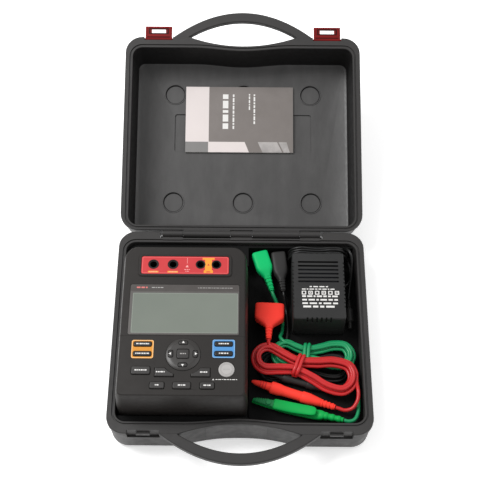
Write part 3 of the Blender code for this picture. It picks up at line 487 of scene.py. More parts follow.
# each plug, probe and clip: where its axis begins and where its boot ends
GREEN_PLUG = ((23.5, 116.6, 37.6), (39.5, 62, 35))
BLACK_PLUG = ((47.8, 117, 36.4), (54.2, 62, 34))
RED_PLUG = ((36.6, 40, 38.2), (34.6, -11, 46))
RED_PROBE = ((14, -63.6, 38), (113.6, -96.4, 38))
BLACK_PROBE = ((34, -52, 35.6), (116.8, -76.2, 35.6))
GREEN_CLIP = ((14, -87, 36.6), (123, -112.3, 37))
DC_PLUG = ((138.2, 14, 25.6), (138.2, 54.4, 25.6))
BAY_FLOOR = 20.3

# the points that a lead passes from its plug to its hank, and from its tool back to its hank
RED_ROUTE = [past(RED_PLUG, 0.9), past(RED_PLUG, 4), (36.8, -20.8, 48.4), (44, -26.8, 48.9)]
RED_TAIL = [past(RED_PROBE, 0.9), past(RED_PROBE, 5), (126, -100.6, 38.8), (134.6, -98.4, 41),
            (140, -91, 44.2), (141.6, -83, 46), (141.4, -77.4, 46.6)]
GREEN_ROUTE = [past(GREEN_PLUG, 0.9), past(GREEN_PLUG, 6), (47.2, 45, 27.8), (52.6, 34, 23.3),
               (53.3, 20, 23.1), (51.6, 8, 25.8), (49.8, 1.2, 31), (49.6, -3.4, 34.8),
               (52.8, -8.8, 36.7), (60, -12.2, 36.9)]
GREEN_TAIL = [past(GREEN_CLIP, 0.9), past(GREEN_CLIP, 7), (136.6, -111.4, 37), (141, -103, 36.4),
              (142.6, -88, 35.4), (142.6, -66, 34.2), (141.8, -54, 34.2), (139.6, -47.6, 34.2)]
BLACK_ROUTE = [past(BLACK_PLUG, 0.9), past(BLACK_PLUG, 6), (57.4, 42, 23.6), (59, 24, 22.7),
               (58.8, 6, 22.7), (56.8, -6, 23.2), (54.6, -12.6, 24.6), (55.4, -19.6, 26.6)]
BLACK_TAIL = [past(BLACK_PROBE, 0.9), past(BLACK_PROBE, 5), (129, -77.4, 35.2), (135.2, -70.6, 34),
              (136.6, -61.4, 31.8), (137, -55, 27.2), (136.6, -51.6, 24.6)]
DC_EXIT = (130.0, 74.0, 28.0)
DC_OUT = [(130.2, 74, 28), (133.8, 74.3, 28), (137.4, 76.6, 28), (139.8, 81.2, 28),
          (140.9, 88, 28.4), (141.2, 97, 30.8), (138.8, 104.2, 34.2)]
DC_TAIL = [past(DC_PLUG, 0.9), past(DC_PLUG, 5), (139.6, 72, 29.4), (141, 82, 36.4),
           (141.7, 92, 45.6), (141.3, 98.6, 52.6), (139.8, 104.8, 56.6), (137.4, 110.6, 55.8),
           (135.2, 114.6, 51.6)]


def hank_stations(length, ra, rb, tie, pinch):
    """Where one turn of a hank passes, as (along, across, how far a turn inside it is drawn in).

    The turn starts on the far side of the near fold, goes along that side past the tie, round the
    far fold, and back along the near side.
    """
    span = length - tie
    half_way = 0.42 * rb + 0.58 * pinch
    far_side = [(0.0, ra, 1.0), (tie * 0.5, 0.45 * ra + 0.55 * pinch, 1.0), (tie, pinch, 0.86),
                (tie + span * 0.45, half_way, 1.0), (tie + span * 0.8, 0.86 * rb + 0.14 * pinch, 1.0)]
    turn = [math.radians(angle) for angle in (25, 60, 90, 120, 155)]
    far_fold = [(length + rb * math.sin(t), rb * math.cos(t), 1.0) for t in turn]
    near_side = [(u, -v, w) for u, v, w in far_side[::-1]]
    turn = [math.radians(angle) for angle in (45, 90, 135)]
    near_fold = [(-ra * math.sin(t), -ra * math.cos(t), 1.0) for t in turn]
    return far_side + far_fold + near_side + near_fold


def drawn_in(station, length, inset):
    """The station of a turn that lies inset inside the outermost one."""
    u, v, share = station
    if 0.0 <= u <= length:
        return u, math.copysign(max(0.0, abs(v) - inset * share), v)
    centre = 0.0 if u < 0 else length
    radius = math.hypot(u - centre, v)
    k = (radius - inset) / radius
    return centre + (u - centre) * k, v * k


def hank_turns(place, length, ra, rb, tie, pinch, layers, first, last, way=1):
    """The points of a cord wound in a hank, layer by layer.

    place turns (along, across, height) into a point. A layer is (height, inset at its start, inset
    at its end, turns). first and last are the stations where the winding starts and ends.
    """
    stations = hank_stations(length, ra, rb, tie, pinch)
    count = len(stations)
    total = sum(turns for *_, turns in layers)
    steps = round(total * count)
    steps += (last - first - way * steps) * way % count
    points = []
    for i in range(steps + 1):
        done = i / count
        start = 0.0
        for n, (height, inset0, inset1, turns) in enumerate(layers):
            if done <= start + turns or n == len(layers) - 1:
                break
            start += turns
        share = min(1.0, (done - start) / turns)
        inset = inset0 + (inset1 - inset0) * share
        if n + 1 < len(layers):
            rise = max(0.0, 1 - (start + turns - done) / 0.2)
            height += (layers[n + 1][0] - height) * (0.5 - 0.5 * math.cos(math.pi * rise))
        u, v = drawn_in(stations[(first + way * i) % count], length, inset)
        points.append(place(u, v, height))
    return points


def flat_hank(a, b):
    """Places the points of a hank that lies flat, with its folds round a and b."""
    ax = (Vector(b) - Vector(a)).normalized()
    side = Vector((-ax.y, ax.x))

    def place(u, v, height):
        flat = Vector(a) + ax * u + side * v
        return (flat.x, flat.y, height)
    return place, (Vector(b) - Vector(a)).length


def cord_points(route, diameter):
    return smooth_curve(route, 0.55 * diameter)


def tube(name, points, diameter, mat, sides=4):
    """A round cord through the points, in millimetres."""
    curve = bpy.data.curves.new(name, "CURVE")
    curve.dimensions = "3D"
    curve.bevel_depth = diameter / 2 * MM
    curve.bevel_resolution = sides
    curve.use_fill_caps = True
    spline = curve.splines.new("POLY")
    spline.points.add(len(points) - 1)
    for point, p in zip(spline.points, points):
        point.co = (*(Vector(p) * MM), 1.0)
    spline.use_smooth = True
    obj = placed(name, curve)
    curve.materials.append(M[mat])
    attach(obj, "case")
    return obj


def run_length(points):
    return sum((Vector(q) - Vector(p)).length for p, q in zip(points, points[1:])) * MM


# --- Leads ---
TOOL_SMOOTH = 42  # degrees up to which the edges of a plug, probe or clip look smooth


def squared(value, power):
    """A sine or cosine raised to a power below 1, which makes a round outline squarer."""
    return math.copysign(abs(value) ** power, value)


def tool_rings(sections, start, aim, squareness=0.0):
    """Rings along a line from start towards aim; a section is (distance, width, height[, squareness])."""
    sides = 40
    start, aim = Vector(start), Vector(aim)
    forward = (aim - start).normalized()
    across, upward = level_axes(forward)
    rings = []
    for distance, width, height, *own in sections:
        power = 1 - 0.72 * (own[0] if own else squareness)
        turn = [2 * math.pi * (i + 0.5) / sides for i in range(sides)]
        rings.append([
            start + forward * distance
            + across * (squared(math.cos(t), power) * width / 2)
            + upward * (squared(math.sin(t), power) * height / 2)
            for t in turn
        ])
    return rings


def ribbed_boot(begin, length, wide, thin, ribs=4):
    """Sections of a strain relief that narrows in round ribs, with a slim neck between two of them."""
    sections = []
    for i in range(ribs):
        at = begin + length * i / ribs
        size = wide + (thin - wide) * i / ribs
        step = length / ribs
        neck = max(size - 1.7, thin - 1.2)
        sections += [(at + step * 0.02, size - 0.7, size - 0.7), (at + step * 0.1, size, size),
                     (at + step * 0.46, size, size), (at + step * 0.54, size - 0.7, size - 0.7),
                     (at + step * 0.6, neck, neck), (at + step * 0.96, neck, neck)]
    return sections + [(begin + length - 0.2, thin, thin), (begin + length, thin - 0.5, thin - 0.5)]


def tool_piece(name, sections, ends, mat, squareness=0.0, extra=()):
    """A plug or probe, lofted, that stands for the CAD node of the same name."""
    stacks = [tool_rings(sections, *ends, squareness=squareness)] + list(extra)
    obj = mesh_piece(name + "_look", *lofts(stacks), mat, "case", TOOL_SMOOTH)
    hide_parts(name)
    return obj


def lead_plug(name, width, height, ends, length, sleeves, mat, squareness=0.8):
    """A right-angled plug: a flat body, sloping shoulders, a ribbed boot and its shrouded pins."""
    total = (Vector(ends[1]) - Vector(ends[0])).length
    neck, boot_end, pin_radius = 9.2, 6.4, 5.6
    shoulder, boot = length + 0.6, length + 13.6
    body = [(0, width - 3, height - 3), (0.5, width - 1.5, height - 1.5),
            (1.5, width - 0.4, height - 0.4), (2.6, width, height), (length - 1, width, height),
            (shoulder, width - 0.8, height - 0.2, squareness * 0.9)]
    for i in range(1, 7):
        t = i / 6
        ease = t * t * (3 - 2 * t)
        body.append((shoulder + 12.6 * t, width + (neck + 0.4 - width) * (0.55 * t + 0.45 * ease),
                     height + (neck + 0.2 - height) * ease, squareness * (1 - t) ** 0.5 * 0.9))
    body += ribbed_boot(boot, total - length - 13.6, neck, boot_end)
    pins = [[at_z(ring(x, y, pin_radius), z) for z in (BAY_FLOOR, ends[0][2])] for x, y in sleeves]
    return tool_piece(name, body, ends, mat, squareness, pins)


def probe(name, ends, mat, dark, scale=1.0):
    """A test probe: a ringed nose, a guard collar, a waisted barrel, a rear collar and the boot."""
    reach = (Vector(ends[1]) - Vector(ends[0])).length
    nose = [(0, 2.2), (0.6, 3.4), (2, 4.6), (6, 6.6), (16, 8.8), (23.4, 10.3), (24, 10.4)]
    guard = [(24.3, 13.4), (25.2, 14.6), (27, 15), (35, 14.6), (37, 13.8)]
    barrel = [(40, 12.8), (50, 12.2), (62.6, 12.2)]
    collar = [(63.2, 13.6), (64.4, 14.4), (73, 14.2), (75, 13.2), (82, 11.2), (86.6, 9.8)]
    shape = [(d * scale, w * scale, w * scale) for d, w in nose + guard + barrel + collar]
    begin = 87.2 * scale
    shape += ribbed_boot(begin, reach - begin, 9.0 * scale + 0.4, 6.8 * scale + 0.6)
    obj = tool_piece(name, shape, ends, mat)
    rings = ((11.0, 8.4), (14.2, 9.1), (17.4, 9.7))
    grooves = [tool_rings([(along * scale, w * scale, w * scale) for along in (d, d + 1.2)], *ends)
               for d, w in rings]
    bands = mesh_piece(name + "_bands", *lofts(grooves), dark, "case", TOOL_SMOOTH)
    return [obj, bands]


def green_clip():
    """The crocodile clip: a fixed half with its boot, and a jaw with a thumb lever on its own hinge."""
    tip, back = (Vector(p) for p in GREEN_CLIP)
    reach = (back - tip).length
    forward = (back - tip).normalized()
    across = level_axes(forward)[0]

    def half_clip(name, sections, mat, body):
        """A section is (distance, width, height, how far its middle lies above the clip's axis)."""
        sides = 36
        turn = [2 * math.pi * (i + 0.5) / sides for i in range(sides)]
        rings = [[tip + forward * distance + across * (math.cos(t) * width / 2)
                  + Vector((0, 0, lift + squared(math.sin(t), 0.75) * height / 2)) for t in turn]
                 for distance, width, height, lift in sections]
        return mesh_piece(name, *lofts([rings]), mat, body, TOOL_SMOOTH)

    fixed = [(0.6, 3.2, 2.6, -3.6), (1.4, 4.6, 3.6, -3.6), (20, 8.6, 4.6, -3.6), (44, 12.6, 5.4, -3.4),
             (74, 12.6, 5.4, -3.2), (79, 12.8, 7.4, -2), (84, 12.2, 9.4, -0.6), (87.6, 10.4, 9.2, 0)]
    fixed += [(d, w, h, 0) for d, w, h in ribbed_boot(88.6, reach - 88.6, 9.2, 6.8, 3)]
    base = half_clip("green_clip_look", fixed, "green_clip", "case")
    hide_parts("green_clip")
    jaw = [(1.6, 2.8, 2.2, 1.8), (2.4, 4.2, 3.2, 1.8), (10, 6.4, 3.6, 2), (20, 8.4, 4, 2.2),
           (27.4, 9.8, 4.2, 2.3)]
    nose = half_clip("green_clip_nose", jaw, "green_dark", "green_clip_jaw")
    pad = [(26.6, 9.6, 3.6, 2.3), (27.2, 12.2, 4.8, 2.5), (28.6, 13, 5.4, 2.6), (40, 13.4, 5.4, 2.8),
           (50, 13.4, 5.4, 3), (60, 12.8, 4.6, 4.4), (66, 12.4, 4, 5.6), (72, 11.8, 3.6, 6.6),
           (75.4, 10.6, 3.2, 7.2), (77.2, 8.8, 2.6, 7.4), (78, 6.6, 1.8, 7.4)]
    top = half_clip("green_clip_jaw_look", pad, "green_clip", "green_clip_jaw")
    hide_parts("green_clip_jaw")
    hub = tip + forward * 20.5
    discs = [[at_z(ring(hub.x, hub.y, radius), hub.z + rise)
              for radius, rise in ((3.4, 3.4), (3.4, 5.2), (2.8, 5.7))]]
    for i in range(6):
        rib = tip + forward * (6.0 + 2.6 * i)
        half = 2.6 + 0.32 * i
        ends = [rib + across * half, rib - across * half]
        low, high = rib.z + 3.2, rib.z + 4.4
        thick = forward * 0.5
        outline = [ends[0] - thick, ends[0] + thick, ends[1] + thick, ends[1] - thick]
        discs.append([[(p.x, p.y, z) for p in outline] for z in (low, high)])
    boss = mesh_piece("green_clip_boss", *lofts(discs), "green_dark", "green_clip_jaw", TOOL_SMOOTH)
    return [base, top, nose, boss]


def tie_wrap(name, centre, along, half_width, low, high, diameter, mat):
    """The cord's own end wrapped round the bundle, laid over the top and tucked in at both sides."""
    wraps = 2
    ax = Vector(along).normalized()
    side = Vector((-ax.y, ax.x, 0.0))
    ax = Vector((ax.x, ax.y, 0.0))
    points = []
    for w in range(wraps):
        shift = (w - (wraps - 1) / 2) * diameter * 1.02
        for i in range(25):
            t = math.pi * i / 24 if w % 2 == 0 else math.pi * (1 - i / 24)
            across = math.copysign(abs(math.cos(t)) ** 0.55, math.cos(t)) * half_width
            lift = abs(math.sin(t)) ** 0.5 * (high - low)
            lean = diameter * 0.35 * math.cos(t)
            points.append(Vector(centre) + side * across + ax * (shift + lean) + Vector((0, 0, low + lift)))
    return tube(name, points, diameter, mat)


def declare(piece, points, diameter, exit_point):
    tuple(Vector(exit_point) * MM)
    round(run_length(points), 3)


def wound_cord(name, diameter, mat, folds, shape, layers, last, begin, end, stands_for):
    """A lead wound in a hank that lies flat, with its points and what places the hank's points.

    shape is the radius of either fold, the tie's distance from the first one and how far it draws
    the hank in. begin and end are the points that the cord passes before and after its turns.
    """
    place, length = flat_hank(*folds)
    turns = hank_turns(place, length, *shape, layers, 1, last)
    points = cord_points(begin + turns + end[::-1], diameter)
    cord = tube(name, points, diameter, mat)
    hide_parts(*stands_for)
    return cord, points, place


def leads():
    green = lead_plug("green_plug", 21.0, 13.0, GREEN_PLUG, 24.0, [(25.2, 109.0)], "green")
    black = lead_plug("black_plug", 19.0, 13.0, BLACK_PLUG, 27.0, [(48.8, 109.0)], "plug_black")
    red = lead_plug("red_plug", 37.0, 14.0, RED_PLUG, 21.0, [(24.2, 32.6), (43.2, 32.6)], "red", 0.86)
    red_probe = probe("red_probe", RED_PROBE, "red", "red_dark")
    black_probe = probe("black_probe", BLACK_PROBE, "plug_black", "black", 0.77)
    clip = green_clip()

    d = LEAD_D
    layers = [(48.9, 3.4, 8.6, 2.0), (44.1, 10.6, 0.0, 2.4)]
    cord, points, place = wound_cord(
        "red_cord", d, "red_cord", ((34, -36), (117.8, -59)), (19.2, 23.5, 36.0, 10.4), layers, 7,
        RED_ROUTE, RED_TAIL, ("red_hank", "red_lead_tail"))
    tie = tie_wrap("red_tie", place(38.0, 0.0, 0.0), (83.8, -23.0), 13.0, 44.5, 53.2, d, "red_cord")
    declare(cord, points, d, RED_PLUG[1])

    layers = [(36.8, 3.4, 8.6, 2.0), (32.0, 10.6, 0.0, 3.3)]
    cord, points, place = wound_cord(
        "green_cord", d, "green_cord", ((57, -24.5), (120.6, -26.5)), (19.1, 20.0, 24.0, 10.4), layers, 8,
        GREEN_ROUTE, GREEN_TAIL, ("green_hank", "green_lead", "green_lead_tail"))
    tie = tie_wrap("green_tie", place(24.0, 0.0, 0.0), (63.6, -2.0), 12.0, 32.5, 41.0, d, "green_cord")
    declare(cord, points, d, GREEN_PLUG[1])

    d = BLACK_D
    layers = [(26.9, 3.2, 8.0, 2.0), (22.6, 9.6, 0.0, 2.7)]
    cord, points, place = wound_cord(
        "black_cord", d, "black", ((42, -37.6), (115, -38.4)), (19.3, 19.3, 36.0, 12.0), layers, 7,
        BLACK_ROUTE, BLACK_TAIL, ("black_hank", "black_lead", "black_lead_tail"))
    declare(cord, points, d, BLACK_PLUG[1])


def dc_cord():
    """The adaptor's thin lead: a strain relief on its side, a hank standing behind it, and its plug."""
    total = (Vector(DC_PLUG[1]) - Vector(DC_PLUG[0])).length
    body = [(d, w, w) for d, w in ((0, 4.8), (0.4, 5.4), (9.4, 5.4), (9.6, 8.4), (10.4, 9.4), (11.2, 9.6),
                                   (25, 9.6), (27, 8.6), (28.2, 7.2))]
    body += ribbed_boot(28.6, total - 28.6, 6.6, 4.4, 5)
    plug = tool_piece("dc_plug", body, DC_PLUG, "plug_black")
    boot = [(0.0, 7.0, 7.0), (2.0, 6.4, 6.4)] + ribbed_boot(2.4, 3.4, 6.0, 4.2, 2)
    rings = tool_rings(boot, (129.4, 74.0, 28.0), (135.0, 74.0, 28.0))
    relief = mesh_piece("dc_relief", *lofts([rings]), "plug_black", "case", TOOL_SMOOTH)

    def place(u, v, y):
        return (77.0 + u, y, 38.6 + v)

    d = DC_D
    outer = 17.8 - d / 2
    layers = [(106.3, 0.0, 5.6, 2.6), (109.5, 6.6, 0.0, 2.4), (112.7, 0.6, 6.6, 2.4), (115.9, 6.6, 0.0, 2.4)]
    turns = hank_turns(place, 43.0, outer, outer, 21.5, 13.6, layers, 7, 6, -1)
    points = cord_points(DC_OUT + turns + DC_TAIL[::-1], d)
    cord = tube("dc_cord", points, d, "black", 3)
    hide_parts("dc_hank", "dc_lead", "dc_lead_tail")
    declare(cord, points, d, DC_EXIT)


# --- Tester ---
WINDOW_TOP = TESTER_TOP - 0.1
PLATE_TOP = TESTER_TOP + 0.5
PANEL_TOP = TESTER_TOP + 1.2
PRINT = 0.06  # thickness of what is printed or painted on a face
PAD_CENTRE = (-67.1, -56.4)
PANEL_BOX = (-122.0, -15.0, 50.8, 75.3)
SOCKETS = ((-107.3, 6.2), (-83.4, 6.2), (-49.7, 5.6), (-30.3, 5.6))  # centre X and radius
SOCKET_Y = 64.2
LCD_BOX = (-130.4, -3.3, -28.6, 25.2)
HEADER_BOX = (-133.4, -2.2, 27.4, 36.2)
ORANGE_BOX = (-127.8, -101.9, -61.6, -38.1)
BLUE_BOX = (-32.9, -6.5, -60.4, -37.0)
TEST_KEY = (-16.0, -75.3)

# key: centre X and Y of its legend, the legend's width and how many marks it has
LEGENDS = {
    "key_orange_upper": (-114.9, -43.4, 15, 7),
    "key_orange_lower": (-114.9, -55.8, 16, 8),
    "key_blue_upper": (-19.7, -42.6, 12, 5),
    "key_blue_lower": (-19.7, -55, 11, 4),
    "key_power": (-115.6, -76.9, 14, 6),
    "key_compare": (-92.6, -79, 10, 4),
    "key_timer": (-42.4, -79, 8.4, 4),
    "key_mode_left": (-96, -95.4, 4.2, 2),
    "key_mode_middle": (-67.4, -95.4, 8.6, 3),
    "key_mode_right": (-38.1, -95.4, 8.2, 3),
}
ARROWS = {"key_up": (-67.1, -41.6, 90), "key_down": (-67.1, -70.6, -90), "key_left": (-82, -56.2, 180),
          "key_right": (-52.2, -56.2, 0)}


def printed(outline, low):
    """A printed area on a face at that height."""
    return (outline, low, low + PRINT)


def dashes(x, y, width, height, count, low, upright=False):
    """A row of plain marks of uneven length, centred on (x, y), where the real thing has small print."""
    parts = [1.0 + 0.5 * math.sin(2.4 * i + width) for i in range(count)]
    gap = 0.34
    unit = width / (sum(parts) + gap * (count - 1))
    shapes, at = [], -width / 2
    for part in parts:
        end = at + part * unit
        if upright:
            outline = rect(x - height / 2, x + height / 2, y + at, y + end)
        else:
            outline = rect(x + at, x + end, y - height / 2, y + height / 2)
        shapes.append(printed(outline, low))
        at = end + gap * unit
    return shapes


def triangle(x, y, size, angle):
    return [(x + size * math.cos(math.radians(angle + t)), y + size * math.sin(math.radians(angle + t)))
            for t in (0, 120, 240)]


def frame_shape(name, edges, inset, width, radius, low, mat, body, thick=PRINT, turn=None):
    """A thin line that runs round inside a rectangle, as a flat ring with round corners."""
    x0, x1, y0, y1 = edges
    outer = round_rect(x0 + inset, x1 - inset, y0 + inset, y1 - inset, radius)
    inner = round_rect(x0 + inset + width, x1 - inset - width, y0 + inset + width, y1 - inset - width,
                       max(0.3, radius - width))
    return flat_band(name, outer, inner, low, thick, mat, body, turn)


def ring_shape(name, x, y, radius, width, low, mat, body, thick, turn=None):
    """A flat circular line."""
    sides = 64
    outer, inner = ring(x, y, radius, sides), ring(x, y, radius - width, sides)
    return flat_band(name, outer, inner, low, thick, mat, body, turn)


def tester_body():
    refined("tester_upper_housing", "housing", 0.35)
    refined("tester_lower_housing", "housing", 0.4)
    refined("direction_pad", "pad", 0.3)
    bead = [(rect(-142.6, 5.6, -32.3, -31.6), TESTER_TOP - 0.1, TESTER_TOP + 0.22)]
    soften(slabs("tester_bead", bead, "housing", "tester"), 0.12)
    ring_shape("pad_groove", *PAD_CENTRE, 15.6, 0.7, TESTER_TOP + 1.72, "black_key", "tester", 0.1)
    hidden = {"battery_door": "housing", "main_board": "board", "keypad_mat": "rubber",
              "lcd_module": "lcd_back", "battery_bank_left": "cell", "battery_bank_right": "cell"}
    for node_name, mat in hidden.items():
        dress(node_name, mat)


def terminals():
    refined("terminal_panel", "panel", 0.2)
    refined("terminal_block", "socket", 0.3)
    top = PANEL_TOP
    frame_shape("panel_line", PANEL_BOX, 1.0, 0.5, 1.6, top, "pink", "tester")
    for i, (x, radius) in enumerate(SOCKETS):
        ring_shape(f"socket_ring_{i}", x, SOCKET_Y, radius + 0.3, 1.0, top - 0.2, "socket", "tester", 0.5)

    large_sockets = [x for x, radius in SOCKETS[:2]]
    sign_x, note_x = -40.0, -66.0
    bars = [printed(round_rect(x - 6.4, x + 6.4, 52.6, 54.8, 0.6, 2), top) for x in large_sockets]
    slabs("panel_bars", bars, "yellow", "tester")
    block = [printed(rect(sign_x - half, sign_x + half, low, high), top)
             for low, high, half in ((52.2, 56.0, 5.6), (56.0, 71.0, 4.2), (71.0, 73.6, 7.4))]
    slabs("panel_block", block, "yellow", "tester")
    marks = (triangle(sign_x, 63.6, 1.7, 90), rect(-42.4, -37.6, 53.2, 54.4))
    slabs("panel_dark_marks", [printed(mark, top + PRINT) for mark in marks], "panel", "tester")
    pale = [printed(rect(-66.2, -65.8, 65.4, 73.4), top), printed(triangle(note_x, 61.2, 2.2, 90), top)]
    pale += dashes(note_x, 57.0, 7.0, 0.8, 3, top) + dashes(note_x, 54.6, 4.4, 0.8, 2, top)
    for x in large_sockets:
        pale += dashes(x, 53.7, 9.6, 0.7, 5, top + PRINT)
    slabs("panel_pale_marks", pale, "pink_pale", "tester")


def display():
    refined("display_window", "bezel", 0.2)
    top = WINDOW_TOP + PRINT
    slabs("display_header", [printed(round_rect(*HEADER_BOX, 1.4), WINDOW_TOP)], "header", "tester")
    slabs("display_pane", [printed(round_rect(*LCD_BOX, 1.2), WINDOW_TOP)], "lcd", "tester")
    frame_shape("display_line", LCD_BOX, 0.6, 0.35, 1.0, top, "lcd_line", "tester", 0.03)
    slabs("header_red_mark", dashes(-119.6, 32.4, 13.0, 1.9, 3, top), "print_red", "tester")
    pale = dashes(-101.0, 32.4, 14.0, 1.1, 4, top) + dashes(-31.0, 32.2, 42.0, 0.8, 13, top)
    slabs("header_pale_marks", pale, "grey_print", "tester")


def keys():
    plates = (("orange", ORANGE_BOX, "orange", "cream"), ("blue", BLUE_BOX, "blue", "sky"))
    for name, edges, mat, line in plates:
        refined(f"{name}_key_plate", mat, 0.15)
        frame_shape(f"{name}_plate_line", edges, 0.1, 0.95, 2.2, PLATE_TOP, line, "tester")
    names = list(LEGENDS) + list(ARROWS) + ["key_enter"]
    for name in names:
        glossy = name.startswith(("key_orange", "key_blue"))
        refined(name, "black_key" if glossy else "key", 0.35, 3)
    for name, (x, y, width, count) in LEGENDS.items():
        slabs(name + "_legend", dashes(x, y, width, 1.5, count, KEY_TOP), "white", name)
    raised = KEY_TOP + 0.9
    for name, (x, y, angle) in ARROWS.items():
        slabs(name + "_arrow", [printed(triangle(x, y, 1.9, angle), raised)], "white", name)
    slabs("key_enter_legend", dashes(-67.1, -56.2, 7.0, 1.3, 3, raised), "grey_print", "key_enter")
    refined("key_test", "test_key", 0.4, 3)
    for i, radius in enumerate((7.8, 6.6)):
        ring_shape(f"key_test_ring_{i}", *TEST_KEY, radius, 0.35, KEY_TOP, "test_line", "key_test", 0.12)
    slabs("key_test_legend", dashes(*TEST_KEY, 7.6, 1.2, 4, KEY_TOP), "grey_print", "key_test")
    note = dashes(-16.0, -87.5, 25.0, 0.8, 8, TESTER_TOP)
    note.append(printed(triangle(-31.2, -87.7, 1.3, 90), TESTER_TOP))
    slabs("tester_note", note, "white", "tester")


# --- Adaptor ---
ADAPTOR_BOX = (64.5, 129.5, 7.5, 101.0)

# centre X, centre Y, width, height and number of marks of each row on the adaptor's label
LABEL_ROWS = (
    (97, 52.2, 23, 1.5, 4), (96.2, 48.7, 40.5, 1.4, 8), (98, 38.7, 44, 2.2, 7),
    (98, 33.8, 44, 2.2, 6), (98, 28.9, 44, 2.2, 5), (96.3, 24.3, 38.6, 2.6, 4),
)


def adaptor_cuts():
    """The small slots round the top edge of the housing: down both sides, at the back and in front."""
    x0, x1, y0, y1 = ADAPTOR_BOX
    above = ADAPTOR_TOP + 1
    cuts = []
    for i in range(12):
        y = 86.0 - 5.6 * i
        for edge in (x0, x1):
            cuts.append((rect(edge - 1.5, edge + 1.5, y - 1.2, y + 1.2), ADAPTOR_TOP - 2.0, above))
    for i in range(5):
        x = 82.0 + 7.2 * i
        cuts.append((rect(x - 1.1, x + 1.1, y1 - 2.0, y1 + 1), ADAPTOR_TOP - 2.4, above))
    for i in range(6):
        x = 82.0 + 5.8 * i
        cuts.append((rect(x - 1.0, x + 1.0, y0 - 1, y0 + 1.9), ADAPTOR_TOP - 9.0, above))
    return cuts


def adaptor():
    tool = helper("adaptor_cuts", adaptor_cuts())
    bake(refined("adaptor_housing", "adaptor", 0.5, 2, [tool]))
    bpy.data.objects.remove(tool)
    refined("adaptor_base", "adaptor", 0.5)
    dress("adaptor_transformer", "cell")
    top = ADAPTOR_TOP
    shapes = []
    for x, y, width, height, count in LABEL_ROWS:
        shapes += dashes(x, y, width, height, count, top)
    for i in range(6):
        x = 75.6 + 8.2 * i
        sign = [rect(x, x + 5.4, 41.0, 42.2), rect(x, x + 5.4, 45.2, 46.2), rect(x, x + 1.2, 42.2, 45.2),
                rect(x + 4.2, x + 5.4, 42.2, 45.2)]
        if i % 2:
            sign.append(rect(x + 2.2, x + 3.2, 42.8, 44.6))
        shapes += [printed(outline, top) for outline in sign]
    slabs("adaptor_label", shapes, "white", "case")


# --- Case ---
LATCH_X = 114.0
LATCH_PIVOT = (-134.1, 54.0)  # Y and Z of the latches' axis, with the lid shut
LID_FLOOR = 104.5  # the lid's inner face, with the lid shut
BOOK_FACE = 101.6  # the booklet's cover, modelled with the lid shut
BOOK_BOX = (-78.0, 70.0, -83.6, 10.6)


def lid_walls(lid):
    """Gives the lid's inner walls and the walls of its round recesses a darker copy of the plastic that
    paints shade on them, and the floor a lighter copy that paints sheen on it; the outer skin is the same
    plastic as the base.
    """
    lid.data.materials.append(M["case"])
    lid.data.materials.append(M["lid_shade"])
    # with the lid shut, in metres
    middle_y, front_wall, reach = -0.002, -0.125, 0.115
    rim, floor_above, recess_above = 0.052, 0.095, 0.1025
    steep = 0.7
    shut = LID_TURN.inverted()
    turn = shut.to_3x3()
    for face in lid.data.polygons:
        centre = shut @ face.center
        normal = turn @ face.normal
        inward = normal.x * centre.x + normal.y * (centre.y - middle_y) < 0
        upright = abs(normal.z) < steep
        # floor faces take the lighter copy, which paints the sheen on the lid's inner floor
        floor = normal.z < -steep and centre.z > floor_above
        # wall and recess faces take the darker copy, which paints the shade that falls on them
        wall = upright and inward and centre.z > rim and centre.y > front_wall
        recess = upright and centre.z > recess_above and max(abs(centre.x), abs(centre.y)) < reach
        face.material_index = 0 if floor else 2 if wall or recess else 1


def latch_ribs(name, x):
    """A raised border and a step bar on the latch's inner face, with a thin dark ring that paints the shade
    round the slot and a dark line that paints the shade near the foot.

    They are laid out flat, as (across the case, up the shut latch) from its axis, and turned into
    place with the latch swung open.
    """
    pivot = Vector((0.0, *LATCH_PIVOT)) * MM
    face_y = LATCH_PIVOT[0] + 1.0
    face = Matrix(((-1, 0, 0, 0), (0, 0, 1, face_y * MM), (0, 1, 0, LATCH_PIVOT[1] * MM), (0, 0, 0, 1)))
    quarter = Matrix.Rotation(math.radians(-90), 4, "X")
    swing = Matrix.Translation(pivot) @ quarter @ Matrix.Translation(-pivot)
    turn = LID_TURN @ swing @ face
    low, high, half, border = -17.6, -1.0, 17.8, 2.2
    seat = -0.03
    bars = [(-x - half, -x + half, low, low + border), (-x - half, -x - half + border, low + 2.1, high),
            (-x + half - border, -x + half, low + 2.1, high), (-x - half + 2.1, -x + half - 2.1, -6.6, -3.2)]
    for i, bar in enumerate(bars):
        rib = slabs(f"{name}_rib_{i}", [(rect(*bar), -0.05, 0.42)], "latch", name, turn)
        soften(rib, 0.22, 2)
    # painted shade: a thin dark ring round the slot, where the slot's edge is in shade
    slot_shade = (-x - 13.6, -x + 13.6, -15.6, -6.5)
    frame_shape(f"{name}_hollow", slot_shade, 0.0, 1.9, 2.0, seat, "latch_dark", name, 0.1, turn)
    # painted shade: a thin dark line near the foot, where a recessed step is in shade
    foot = [(rect(-x - 17.2, -x + 17.2, -2.9, -1.9), seat, 0.1)]
    slabs(f"{name}_foot_shade_line", foot, "latch_dark", name, turn)


